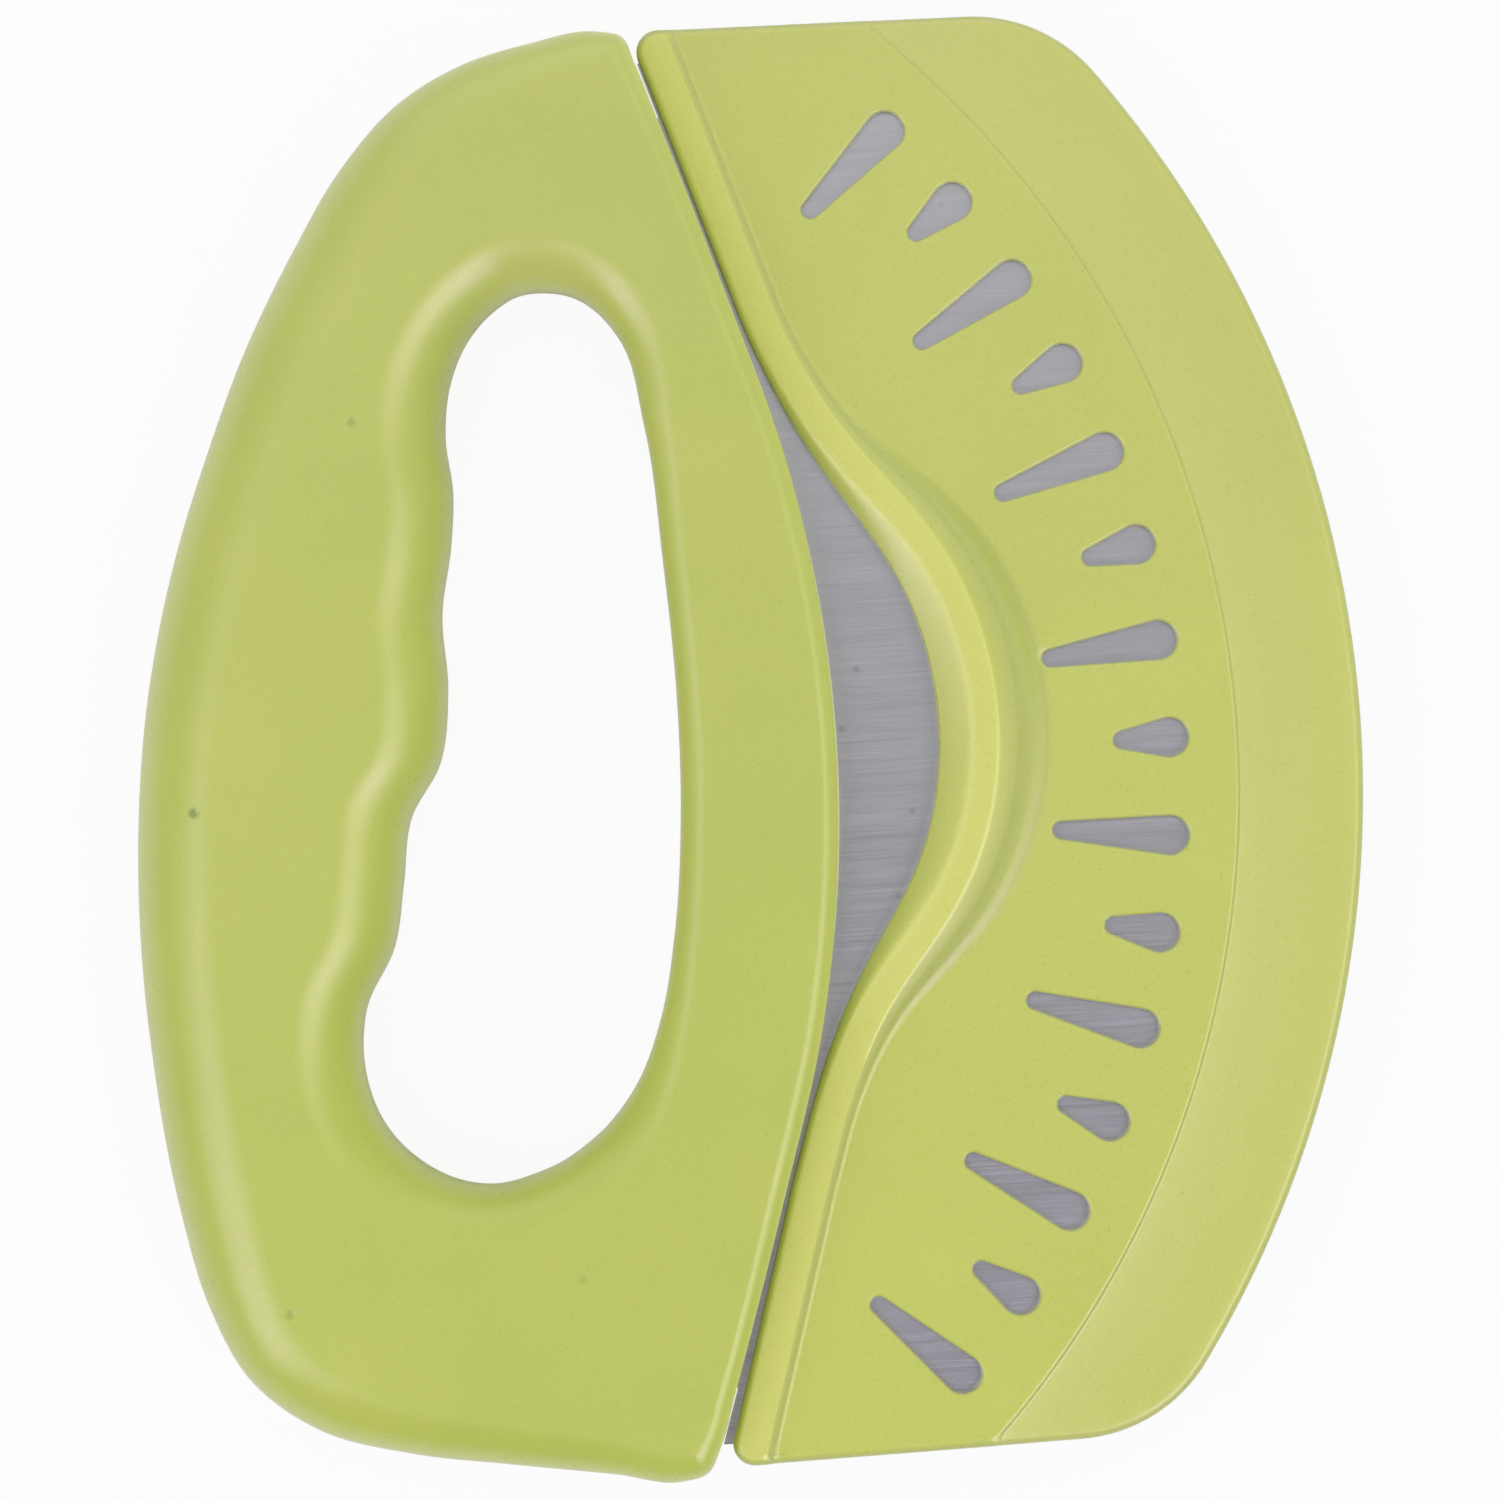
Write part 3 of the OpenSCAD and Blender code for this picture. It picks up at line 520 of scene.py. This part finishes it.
SKIN_FINISH = dict(base="B5C447", light="B8C649", dark="B2C145", grain=0.32, depth=0.026,
                   rough=0.32, painted_top_light=0.1, sheen=0.2)
skin_plastic = grained_plastic("skin_plastic", details=painted_edge_glow, **SKIN_FINISH)
skin_plastic_front = grained_plastic("skin_plastic_front", details=pin_marks_and_edge_glow, **SKIN_FINISH)
guard_plastic = grained_plastic("guard_plastic", base="BDC94D", light="BFCB4F", dark="BAC64B",
                                grain=0.3, depth=0.024, rough=0.31, painted_top_light=0.1, sheen=0.08,
                                details=guard_tints)
blade_steel = brushed_steel("blade_steel", "CDCDD1", "C5C5C9", 0.22)
rivet_steel = brushed_steel("rivet_steel", "D0D0D2", "BEBEC1", 0.34)
core_plastic = moulded_plastic("core_plastic", "EDEDE2", "E4E4D8")


# ---- Handle -------------------------------------------------------------------------------

def front_x(y):
    """Front edge of the handle: an arc that runs out into straight flanks."""
    knee = FRONT_RADIUS * sin(FLANK_ANGLE)
    if abs(y) < knee:
        return APEX_X - FRONT_RADIUS + sqrt(FRONT_RADIUS * FRONT_RADIUS - y * y)
    return APEX_X - FRONT_RADIUS * (1 - cos(FLANK_ANGLE)) - (abs(y) - knee) * tan(FLANK_ANGLE)


def row_slope(rows, i):
    """How a closed curve runs through row i."""
    back = rows[i % len(rows)] - rows[(i - 1) % len(rows)]
    ahead = rows[(i + 1) % len(rows)] - rows[i % len(rows)]
    lean = back * (ahead.xy.length / back.xy.length) + ahead * (back.xy.length / ahead.xy.length)
    return lean / lean.xy.length


def curve(rows, steps):
    """A closed curve through rows of x, y and rounding, which leans to the shorter chords."""
    points = []
    for i, a in enumerate(rows):
        b = rows[(i + 1) % len(rows)]
        reach = (b - a).xy.length
        for k in range(steps):
            t = k / steps
            points.append(a * (2 * t ** 3 - 3 * t ** 2 + 1) + b * (3 * t ** 2 - 2 * t ** 3)
                          + row_slope(rows, i) * reach * (t ** 3 - 2 * t ** 2 + t)
                          + row_slope(rows, i + 1) * reach * (t ** 3 - t ** 2))
    return points


def inward(ring, span):
    """The direction square to a closed ring at each station, to the left of its run."""
    n = len(ring)
    runs = [(ring[(i + span) % n] - ring[(i - span) % n]).xy.normalized() for i in range(n)]
    return [Vector((-run.y, run.x)) for run in runs]


front_count = len(BAR_SIDE_SHARES)
front_rows = []
for k in range(front_count):
    y = mix(-SLOT_HALF, SLOT_HALF, k / (front_count - 1))
    front_rows.append(Vector((front_x(y), y, FRONT_ROLL)))
back_rows = [Vector((APEX_X - d * HANDLE_DEPTH, y * HANDLE_LEN / 2, mix(FRONT_ROLL, GRIP_ROLL, g)))
             for d, y, g in OUTER_SHARES]
opening_rows = [Vector((OPENING_X - d * OPENING_DEPTH, OPENING_SHIFT + y * OPENING_LEN / 2,
                        mix(BAR_ROLL, FINGER_ROLL, g)))
                for d, y, g in BAR_SIDE_SHARES + GRIP_SIDE_SHARES]
outer_ring = curve(front_rows + back_rows, STATION_STEPS)
inner_ring = curve(opening_rows, STATION_STEPS)
outer_in = inward(outer_ring, FAIR_SPAN)
inner_in = [-v for v in inward(inner_ring, FAIR_SPAN)]
slot_last = (front_count - 1) * STATION_STEPS


def roll_height(roll):
    return min(roll * ROLL_HEIGHT_SHARE, MID_Z - BLADE_T)


def outside_profile(roll, seam):
    """From the seam over the rounding to the land, as inset and height over the mid-plane."""
    high = roll_height(roll)
    profile = [(SEAM_BREAK, seam), (0, seam + SEAM_BREAK),
               (0, mix(seam, MID_Z - high, WALL_SHARE))]
    for k in range(ROLL_STEPS + 1):
        a = pi / 2 * k / ROLL_STEPS
        profile.append((roll * (1 - cos(a)), MID_Z - high * (1 - sin(a))))
    return profile + [(roll + LAND_STEP, MID_Z)]


def hollow_profile(roll, seam):
    """From the seam over the core's two tiers to the underside of the land."""
    tier_top = MID_Z * TIER_SHARE
    tier_inset = max(SKIN_T * (1 + TIER_STEP_SHARE), roll * TIER_INSET_SHARE)
    return [(SKIN_T, seam), (SKIN_T, tier_top), (tier_inset, tier_top),
            (tier_inset, MID_Z - SKIN_T)]


def placed(place, direction, profile):
    return [(place.x + direction.x * d, place.y + direction.y * d, z) for d, z in profile]


def skin(name, side):
    """One half of the soft skin, over or under the mid-plane."""
    points = []
    for i, (outer, inner) in enumerate(zip(outer_ring, inner_ring)):
        seam = BLADE_T / 2 + FIT_GAP if i <= slot_last else 0
        section = (placed(outer, outer_in[i], outside_profile(outer.z, seam))
                   + placed(inner, inner_in[i], outside_profile(inner.z, 0))[::-1]
                   + placed(inner, inner_in[i], hollow_profile(inner.z, 0))
                   + placed(outer, outer_in[i], hollow_profile(outer.z, seam))[::-1])
        points += [(x, y, z * side) for x, y, z in section]
    return mesh_object(name, points,
                       rows_of_faces(len(outer_ring), len(section), close_rows=True))


def land_height(x, y):
    """Height of the skin's face over the mid-plane at a place beside the outer edge."""
    i = min(range(len(outer_ring)), key=lambda i: (outer_ring[i].xy - Vector((x, y))).length)
    inset = (Vector((x, y)) - outer_ring[i].xy).dot(outer_in[i])
    roll = outer_ring[i].z
    if inset >= roll:
        return MID_Z
    return MID_Z - roll_height(roll) * (1 - sin(acos(1 - inset / roll)))


def pin_marks():
    """Shallow round cutters for the marks of the mould's pins."""
    cap = PIN_MARK_D / 2
    bm = bmesh.new()
    for x, y, plain in PIN_MARKS:
        depth = PIN_MARK_DEPTH * plain
        radius = (cap * cap + depth * depth) / (2 * depth)
        made = bmesh.ops.create_uvsphere(bm, u_segments=PIN_SEGMENTS, v_segments=PIN_RINGS,
                                         radius=radius * MM)
        top = land_height(x, y) + MID_Z - depth + radius
        bmesh.ops.translate(bm, verts=made["verts"], vec=(x * MM, y * MM, top * MM))
    mesh = bpy.data.meshes.new("pin_marks")
    bm.to_mesh(mesh)
    bm.free()
    return linked("pin_marks", mesh)


front_skin = cut(skin("skin_front", 1), [pin_marks()])
back_skin = skin("skin_back", -1)
finish_piece(front_skin, "cutter", skin_plastic_front, LAND_AREA, "grip_skin_front")
finish_piece(back_skin, "cutter", skin_plastic, LAND_AREA, "grip_skin_back")


# ---- Guard --------------------------------------------------------------------------------

# Along the mouth the guard's edge turns from a plain rounding at the ends into a wall and a ramp
# in the middle, then come the crest of the bead, a slope and a hollow down to the panel.
BEAD_H, LIP_H = 8.2 / 2, 15 / 2
RAMP_W, RAMP_RISE = 4.5, 2.25
RAMP_SHARES = ((0, -0.12), (0.05, 0.05), (0.25, 0.28), (0.45, 0.49), (0.63, 0.67), (0.79, 0.82),
               (0.91, 0.93), (1, 0.99))
CREST_W_END, CREST_W_LIP = 3.7, 3.6
SLOPE_W_END, SLOPE_W_LIP = 1.6, 8.2
EDGE_STEPS = 7
CREST_SHARES = (0.12, 0.35, 0.65, 0.88)
CREST_CROWN = 0.12
SLOPE_SHARES = ((0, 0.01), (0.03, 0.03), (0.07, 0.065), (0.2, 0.2), (0.31, 0.315), (0.34, 0.36),
                (0.38, 0.45), (0.43, 0.57), (0.49, 0.69), (0.56, 0.795), (0.64, 0.875),
                (0.73, 0.935), (0.82, 0.972), (0.91, 0.993), (1, 1))
STEP_ROWS = ((-0.2, 0), (-0.05, 0.03), (0.08, 0.14), (0.25, 0.5), (0.42, 0.86), (0.55, 0.97),
             (0.7, 1))
BAND_ROWS = (2, 4.5, 7.5, 11, 14.5)
CLEAR = 0.35               # how far a row of the face ends before the rounded edge

RUN_HALF = 0.6             # length each way over which the mouth's direction is taken
FOOT_ROUNDS = 4            # rounds that find the place of the mouth nearest to a point
MOUTH_CORNER_STEPS, GUARD_CORNER_STEPS, RIM_STEPS, MOUTH_STEPS = 12, 26, 130, 170
END_SPACING = 0.6
BAND_STEPS, BAND_PAST_ENDS = 150, radians(3)
SAME_PLACE = 1e-7
POCKET_CORNER_STEPS, POCKET_RIM_STEPS = 10, 90
WINDOW_STEPS, WINDOW_TIP_STEPS = 22, 14
FLARE_STEPS, FLARE_ANGLE = 4, radians(70)


def scoop(y):
    """How far the mouth has left the handle's edge at y, from 0 to 1."""
    away = y - SCOOP_SHIFT
    half = SCOOP_ABOVE if away > 0 else SCOOP_BELOW
    if abs(away) >= half:
        return 0
    wave = (1 + cos(pi * away / half)) / 2
    return wave - SCOOP_FLANK_SHARE * sin(2 * pi * wave)


def mouth(y):
    """The mouth's edge at y. Its gap to the handle opens towards the lower end."""
    opened = (-y / GUARD_HALF - GAP_FROM_SHARE) / (1 - GAP_FROM_SHARE)
    gap = mix(MOUTH_GAP, MOUTH_GAP_LOW, max(0, min(1, opened)))
    return Vector((front_x(y) + gap + SCOOP_DEPTH * scoop(y), y))


def mouth_in(y):
    run = mouth(y + RUN_HALF) - mouth(y - RUN_HALF)
    return Vector((run.y, -run.x)).normalized()


def edge_row(k, lift):
    """Row k of the mouth's edge: inset from the mouth, and height over the mid-plane."""
    a = pi / 2 * k / EDGE_STEPS
    across, up = RAMP_SHARES[k]
    rounded = (GUARD_ROUND * (1 - cos(a)), BEAD_H - GUARD_ROUND * (1 - sin(a)))
    ramp = (RAMP_W * across, LIP_H - CREST_CROWN - RAMP_RISE * (1 - up))
    return mix(rounded[0], ramp[0], lift), mix(rounded[1], ramp[1], lift)


def bead_rows(lift):
    """Rows of the bead behind its edge: distance from the mouth, and height."""
    crest = mix(BEAD_H, LIP_H, lift)
    start = edge_row(EDGE_STEPS, lift)
    width = mix(CREST_W_END, CREST_W_LIP, lift)
    rows = [(start[0] + width * s, crest - CREST_CROWN * lift * (2 * s - 1) ** 4)
            for s in CREST_SHARES]
    slope = mix(SLOPE_W_END, SLOPE_W_LIP, lift)
    return rows + [(start[0] + width + slope * s, mix(crest, PANEL_H, fall))
                   for s, fall in SLOPE_SHARES]


def guard_h(r):
    """Height of panel, step and falling band at a distance from the centre of the rim."""
    across = r - STEP_RADIUS
    if across <= STEP_ROWS[0][0]:
        return PANEL_H
    for (r0, f0), (r1, f1) in zip(STEP_ROWS, STEP_ROWS[1:]):
        if across <= r1:
            return PANEL_H - STEP_H * mix(f0, f1, (across - r0) / (r1 - r0))
    u = min(1, across / BAND_W)
    return PANEL_H - STEP_H - BAND_FALL * u * (2 - u)


def face_h(p):
    """Height of the guard's face at any place within its edge."""
    y = p.y
    for _ in range(FOOT_ROUNDS):
        across = mouth_in(y)
        d = (p - mouth(y)).dot(across)
        y = p.y - across.y * d
    lift = scoop(y)
    rows = [edge_row(EDGE_STEPS, lift)] + bead_rows(lift)
    if d <= rows[0][0]:
        return rows[0][1]
    for (d0, h0), (d1, h1) in zip(rows, rows[1:]):
        if d <= d1:
            return mix(h0, h1, (d - d0) / (d1 - d0))
    return guard_h((p - ARC_CENTRE).length)


# The two corners at one end of the guard: their centres, the angles where their arcs meet the
# mouth and the rim, and the direction out of the end between them
End = namedtuple("End", "mouth_y mouth mouth_angle rim rim_angle out")


def guard_end(side):
    end_y = GUARD_SHIFT + side * GUARD_HALF
    mouth_y = end_y - side * MOUTH_CORNER * (1 + sin(FLANK_ANGLE))
    across = mouth_in(mouth_y)
    run = Vector((cos(END_ANGLE), -side * sin(END_ANGLE)))
    start = Vector((APEX_X, end_y - side * GUARD_CORNER / cos(END_ANGLE)))
    rim = on_ray(start, run, ARC_CENTRE, RIM_RADIUS - GUARD_CORNER)
    spoke = rim - ARC_CENTRE
    return End(mouth_y, mouth(mouth_y) + across * MOUTH_CORNER,
               atan2(-across.y, -across.x) % (2 * pi), rim, atan2(spoke.y, spoke.x),
               Vector((run.y, -run.x)) * -side)


def arc_edge(c, r, start, end, steps):
    return [(p, (c - p).normalized(), 0) for p in arc(c, r, start, end, steps)]


def end_edge(end):
    """The straight edge between the two corners of an end, from the mouth to the rim."""
    a = end.mouth + end.out * MOUTH_CORNER
    b = end.rim + end.out * GUARD_CORNER
    count = round((b - a).length / END_SPACING)
    return [(mix(a, b, k / count), -end.out, 0) for k in range(1, count)]


def guard_edge():
    """The guard's outline, counter-clockwise: each point with its inward direction and its lift.

    With it come the places along the mouth where its lower and upper corner start.
    """
    low, high = guard_end(-1), guard_end(1)
    ys = [mix(high.mouth_y, low.mouth_y, k / MOUTH_STEPS) for k in range(1, MOUTH_STEPS)]
    edge = (arc_edge(low.mouth, MOUTH_CORNER, low.mouth_angle, 3 * pi / 2 + END_ANGLE,
                     MOUTH_CORNER_STEPS)
            + end_edge(low)
            + arc_edge(low.rim, GUARD_CORNER, -pi / 2 + END_ANGLE, low.rim_angle,
                       GUARD_CORNER_STEPS)
            + arc_edge(ARC_CENTRE, RIM_RADIUS, low.rim_angle, high.rim_angle, RIM_STEPS)[1:-1]
            + arc_edge(high.rim, GUARD_CORNER, high.rim_angle, pi / 2 - END_ANGLE,
                       GUARD_CORNER_STEPS)
            + end_edge(high)[::-1]
            + arc_edge(high.mouth, MOUTH_CORNER, pi / 2 - END_ANGLE, high.mouth_angle,
                       MOUTH_CORNER_STEPS)
            + [(mouth(y), mouth_in(y), scoop(y)) for y in ys])
    return edge, low.mouth_y, high.mouth_y


def inside(ring, p, gap):
    """Whether p lies within a closed ring by a gap."""
    crossings = 0
    for a, b in zip(ring, ring[1:] + ring[:1]):
        if (a.y > p.y) != (b.y > p.y) and p.x < a.x + (b.x - a.x) * (p.y - a.y) / (b.y - a.y):
            crossings += 1
        along = max(0, min(1, (p - a).dot(b - a) / (b - a).length_squared))
        if (a + (b - a) * along - p).length < gap:
            return False
    return crossings % 2 == 1


def guard_solid():
    """The guard without its pocket and windows, built as one face that is mirrored below."""
    edge, low, high = guard_edge()
    n = len(edge)
    points = []
    for k in range(EDGE_STEPS + 1):
        a = pi / 2 * k / EDGE_STEPS
        for p, across, lift in edge:
            if lift > 0:
                inset, height = edge_row(k, lift)
                place = p + across * inset
            else:
                place = p + across * GUARD_ROUND * (1 - cos(a))
                height = face_h(p + across * GUARD_ROUND) - GUARD_ROUND * (1 - sin(a))
            points.append((place.x, place.y, height))
    ring = [Vector(p[:2]) for p in points[-n:]]

    flat = [p.copy() for p in ring]
    heights = [p[2] for p in points[-n:]]
    links = [(i, (i + 1) % n) for i in range(n)]

    def add_row(row):
        """Adds a row of places and heights, with an edge between each two neighbours."""
        last = None
        for p, h in row:
            if not inside(ring, p, CLEAR):
                last = None
                continue
            flat.append(p)
            heights.append(h)
            if last is not None:
                links.append((last, len(flat) - 1))
            last = len(flat) - 1

    ys = [mix(low - MOUTH_CORNER, high + MOUTH_CORNER, k / MOUTH_STEPS)
          for k in range(MOUTH_STEPS + 1)]
    for j in range(len(bead_rows(0))):
        row = []
        for y in ys:
            d, h = bead_rows(scoop(y))[j]
            row.append((mouth(y) + mouth_in(y) * d, h))
        add_row(row)
    half = asin(GUARD_HALF / STEP_RADIUS) + BAND_PAST_ENDS
    for r in [STEP_RADIUS + r for r in [r for r, _ in STEP_ROWS] + list(BAND_ROWS)]:
        add_row([(p, guard_h(r)) for p in arc(ARC_CENTRE, r, -half, half, BAND_STEPS)])

    verts, _, faces, origins, _, _ = delaunay_2d_cdt(flat, links, [], 0, SAME_PLACE, True)
    first = len(points) - n
    index = []
    for i, v in enumerate(verts):
        if origins[i] and origins[i][0] < n:
            index.append(first + origins[i][0])
        else:
            index.append(len(points))
            h = heights[origins[i][0]] if origins[i] else face_h(v)
            points.append((v.x, v.y, h))
    top = [(a + n, b + n, b, a) for k in range(EDGE_STEPS)
           for a, b in ((k * n + j, k * n + (j + 1) % n) for j in range(n))]
    for face in faces:
        centre = sum((Vector(verts[i]) for i in face), Vector((0, 0))) / len(face)
        if inside(ring, centre, 0):
            top.append(tuple(index[i] for i in face))
    total = len(points)
    points += [(x, y, -z) for x, y, z in points]
    walls = [(j, (j + 1) % n, total + (j + 1) % n, total + j) for j in range(n)]
    return mesh_object("guard", points,
                       top + [tuple(total + i for i in face[::-1]) for face in top] + walls)


def pocket():
    """The blade's outline with a gap round it, as high as the pocket."""
    half = BLADE_HALF + POCKET_GAP
    corner = BLADE_CORNER + POCKET_GAP
    reach = EDGE_RADIUS + POCKET_GAP
    back_x = front_x(half) - HANDLE_DEPTH / 4
    corners, angles = [], []
    for side in (-1, 1):
        centre = on_ray(Vector((APEX_X, side * (half - corner))), Vector((1, 0)), ARC_CENTRE,
                        reach - corner)
        spoke = centre - ARC_CENTRE
        angles.append(atan2(spoke.y, spoke.x))
        corners.append(arc(centre, corner, side * pi / 2, angles[-1], POCKET_CORNER_STEPS))
    outline = ([Vector((back_x, -half))] + corners[0]
               + arc(ARC_CENTRE, reach, *angles, POCKET_RIM_STEPS)[1:-1]
               + corners[1][::-1] + [Vector((back_x, half))])
    return lofted("pocket", [[(p.x, p.y, z) for p in outline] for z in (-POCKET_H, POCKET_H)])


def windows():
    """A fan of drop-shaped windows, long and short in turn, whose edges are rounded."""
    window_out = STEP_RADIUS - WINDOW_MARGIN
    half_angle = asin((GUARD_HALF - WINDOW_END_GAP) / window_out)
    flare = [(0, 0)]
    for k in range(FLARE_STEPS + 1):
        a = FLARE_ANGLE * k / FLARE_STEPS
        flare.append((WINDOW_ROUND * (1 - cos(a)), PANEL_H - WINDOW_ROUND * (1 - sin(a))))
    flare.append((flare[-1][0] + WINDOW_ROUND * sin(a), flare[-1][1] + WINDOW_ROUND * cos(a)))
    flare.append((flare[-1][0], PANEL_T))
    levels = [(grow, -z) for grow, z in flare[:0:-1]] + flare
    big, small = WINDOW_W / 2, WINDOW_TIP_W / 2
    points, faces = [], []
    for k in range(WINDOW_COUNT):
        length = WINDOW_LEN if k % 2 == 0 else WINDOW_SHORT_LEN
        outer, inner = window_out - big, window_out - length + small
        lean = acos((small - big) / (outer - inner))
        turn = mix(-half_angle, half_angle, k / (WINDOW_COUNT - 1))
        spoke, side = Vector((cos(turn), sin(turn))), Vector((-sin(turn), cos(turn)))
        first = len(points)
        for grow, z in levels:
            ring = (arc(Vector((outer, 0)), big + grow, -lean, lean, WINDOW_STEPS)
                    + arc(Vector((inner, 0)), small + grow, lean, 2 * pi - lean,
                          WINDOW_TIP_STEPS))
            for p in ring:
                place = ARC_CENTRE + spoke * p.x + side * p.y
                points.append((place.x, place.y, z))
        count = len(ring)
        faces += rows_of_faces(len(levels), count, first)
        faces.append(tuple(range(first, first + count)))
        faces.append(tuple(range(len(points) - count, len(points))))
    return mesh_object("windows", points, faces)


guard = cut(guard_solid(), [pocket(), windows()])
finish_piece(guard, "guard", guard_plastic, 0, "blade_guard")


# ---- CAD pieces that keep their shape -----------------------------------------------------

CAD_MATERIALS = {"blade": blade_steel, "handle_core_front": core_plastic,
                 "handle_core_back": core_plastic}
for name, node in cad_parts.items():
    if name.startswith("tang_rivet"):
        CAD_MATERIALS[name] = rivet_steel
    if name in CAD_MATERIALS:
        dress(node, CAD_MATERIALS[name])


# ---- Camera, floor and light --------------------------------------------------------------

VIEW_W = 207.6             # width that the photograph takes in at the height of the blade
VIEW_CENTRE = (0.574, -0.04)
VIEW_TURN = radians(-3.6)
CAMERA_DISTANCE = 1500
SENSOR_W = 36

# From here on lengths are in metres. The room's lights are shares of white, and its places are
# directions, of which the wall takes the part between its ends.
FLOOR_HALF = 3.0
FLOOR_PAINT, FLOOR_WHITE_SHARE = 0.86, 0.92
ROOM_LIGHT, WALL_LIGHT = 0.55, 0.97
WALL_EDGE = 0.1            # half width of the wall's soft near edge, as a share of the sky
WALL_END = 0.5, 0.75
STAND_PLACE, STAND_CORE, STAND_REACH, STAND_LIGHT = (0, -0.24, 0.97), 0.05, 0.46, 0.1

LAMP_DISTANCE = 1.2
KEY_TINT, FILL_TINT, GLOSS_TINT = (0.92, 0.82, 1.2), (0.96, 0.98, 1.06), (1, 0.92, 1.08)
# Name, bearing and lean in degrees, size, power, tint, whether it brightens, whether it mirrors
LAMPS = [
    ("left", 207, 42, (0.5, 1.0), 3.5, KEY_TINT, True, True),
    ("right", 304, 44, (0.42, 1.0), 3.4, KEY_TINT, True, True),
    ("low_fill", 25, 81, (1.2, 0.3), 3.0, FILL_TINT, True, False),
    ("left_gloss", 208, 41, (0.5, 1.5), 2.7, GLOSS_TINT, False, True),
    ("right_gloss", 328, 36, (0.8, 0.75), 4.3, GLOSS_TINT, False, True),
    ("far_gloss", 100, 62, (1.5, 0.8), 1.7, GLOSS_TINT, False, True)]

camera_data = bpy.data.cameras.new("camera")
camera_data.sensor_width = SENSOR_W
camera_data.lens = SENSOR_W * CAMERA_DISTANCE / VIEW_W
camera = linked("camera", camera_data)
camera.location = Vector((*VIEW_CENTRE, MID_Z + CAMERA_DISTANCE)) * MM
camera.rotation_euler = (0, 0, VIEW_TURN)
bpy.context.scene.camera = camera


def floor():
    """A plain pale floor that keeps the shadow of the object and shows white to the camera."""
    corners = [(x * FLOOR_HALF, y * FLOOR_HALF, 0) for x, y in ((-1, -1), (1, -1), (1, 1), (-1, 1))]
    mesh = bpy.data.meshes.new("floor")
    mesh.from_pydata(corners, [], [(0, 1, 2, 3)])
    obj = linked("floor", mesh)
    material = bpy.data.materials.new("floor_white")
    t = Tree(material)
    paint = t.add("ShaderNodeBsdfDiffuse")
    t.fill(paint.inputs["Color"], (FLOOR_PAINT, FLOOR_PAINT, FLOOR_PAINT, 1))
    white = t.add("ShaderNodeEmission")
    t.fill(white.inputs["Color"], (1, 1, 1, 1))
    t.fill(white.inputs["Strength"], 1)
    t.show_white(paint, white, FLOOR_WHITE_SHARE, "ShaderNodeOutputMaterial")
    mesh.materials.append(material)


def room():
    """Soft light from all round, with a bright wall beyond the upper end of the cutter and a
    dark place overhead, where the camera and its stand are."""
    world = bpy.data.worlds.new("world")
    bpy.context.scene.world = world
    t = Tree(world)
    place = t.add("ShaderNodeTexCoord").outputs["Generated"]
    soft = "SMOOTHSTEP"
    wall = t.math("MULTIPLY",
                  t.ramp(t.axis(place, "Y"), -WALL_EDGE, WALL_EDGE, kind=soft),
                  t.ramp(t.math("ABSOLUTE", t.axis(place, "X")), *WALL_END, 1, 0, soft))
    light = t.math("MULTIPLY", t.ramp(wall, 0, 1, ROOM_LIGHT, WALL_LIGHT, soft),
                   t.ramp(t.distance(place, STAND_PLACE), STAND_CORE, STAND_REACH, STAND_LIGHT,
                          1, soft))
    background = t.add("ShaderNodeBackground")
    t.link(light, background.inputs["Color"])
    t.fill(background.inputs["Strength"], 1)
    white = t.add("ShaderNodeBackground")
    t.fill(white.inputs["Color"], (1, 1, 1, 1))
    t.show_white(background, white, 1, "ShaderNodeOutputWorld")


def softbox(name, bearing, lean, size, power, tint, diffuse, glossy):
    """A rectangular lamp that looks at the middle of the cutter.

    The bearing turns from X towards Y, and the lean is counted from upright. The lamp's first
    size is its width, the second its length in the direction of the lean.
    """
    data = bpy.data.lights.new(name, "AREA")
    data.shape = "RECTANGLE"
    data.size, data.size_y = size
    data.energy = power
    data.color = tint
    bearing, lean = radians(bearing), radians(lean)
    away = Vector((cos(bearing) * sin(lean), sin(bearing) * sin(lean), cos(lean)))
    lamp = linked(name, data)
    lamp.location = away * LAMP_DISTANCE
    aim = Vector((0, 0, MID_Z * MM)) - lamp.location
    lamp.rotation_euler = aim.to_track_quat("-Z", "Y").to_euler()
    lamp.visible_diffuse = diffuse
    lamp.visible_glossy = glossy


floor()
room()
for lamp in LAMPS:
    softbox(*lamp)

bpy.context.scene.view_settings.view_transform = "Standard"
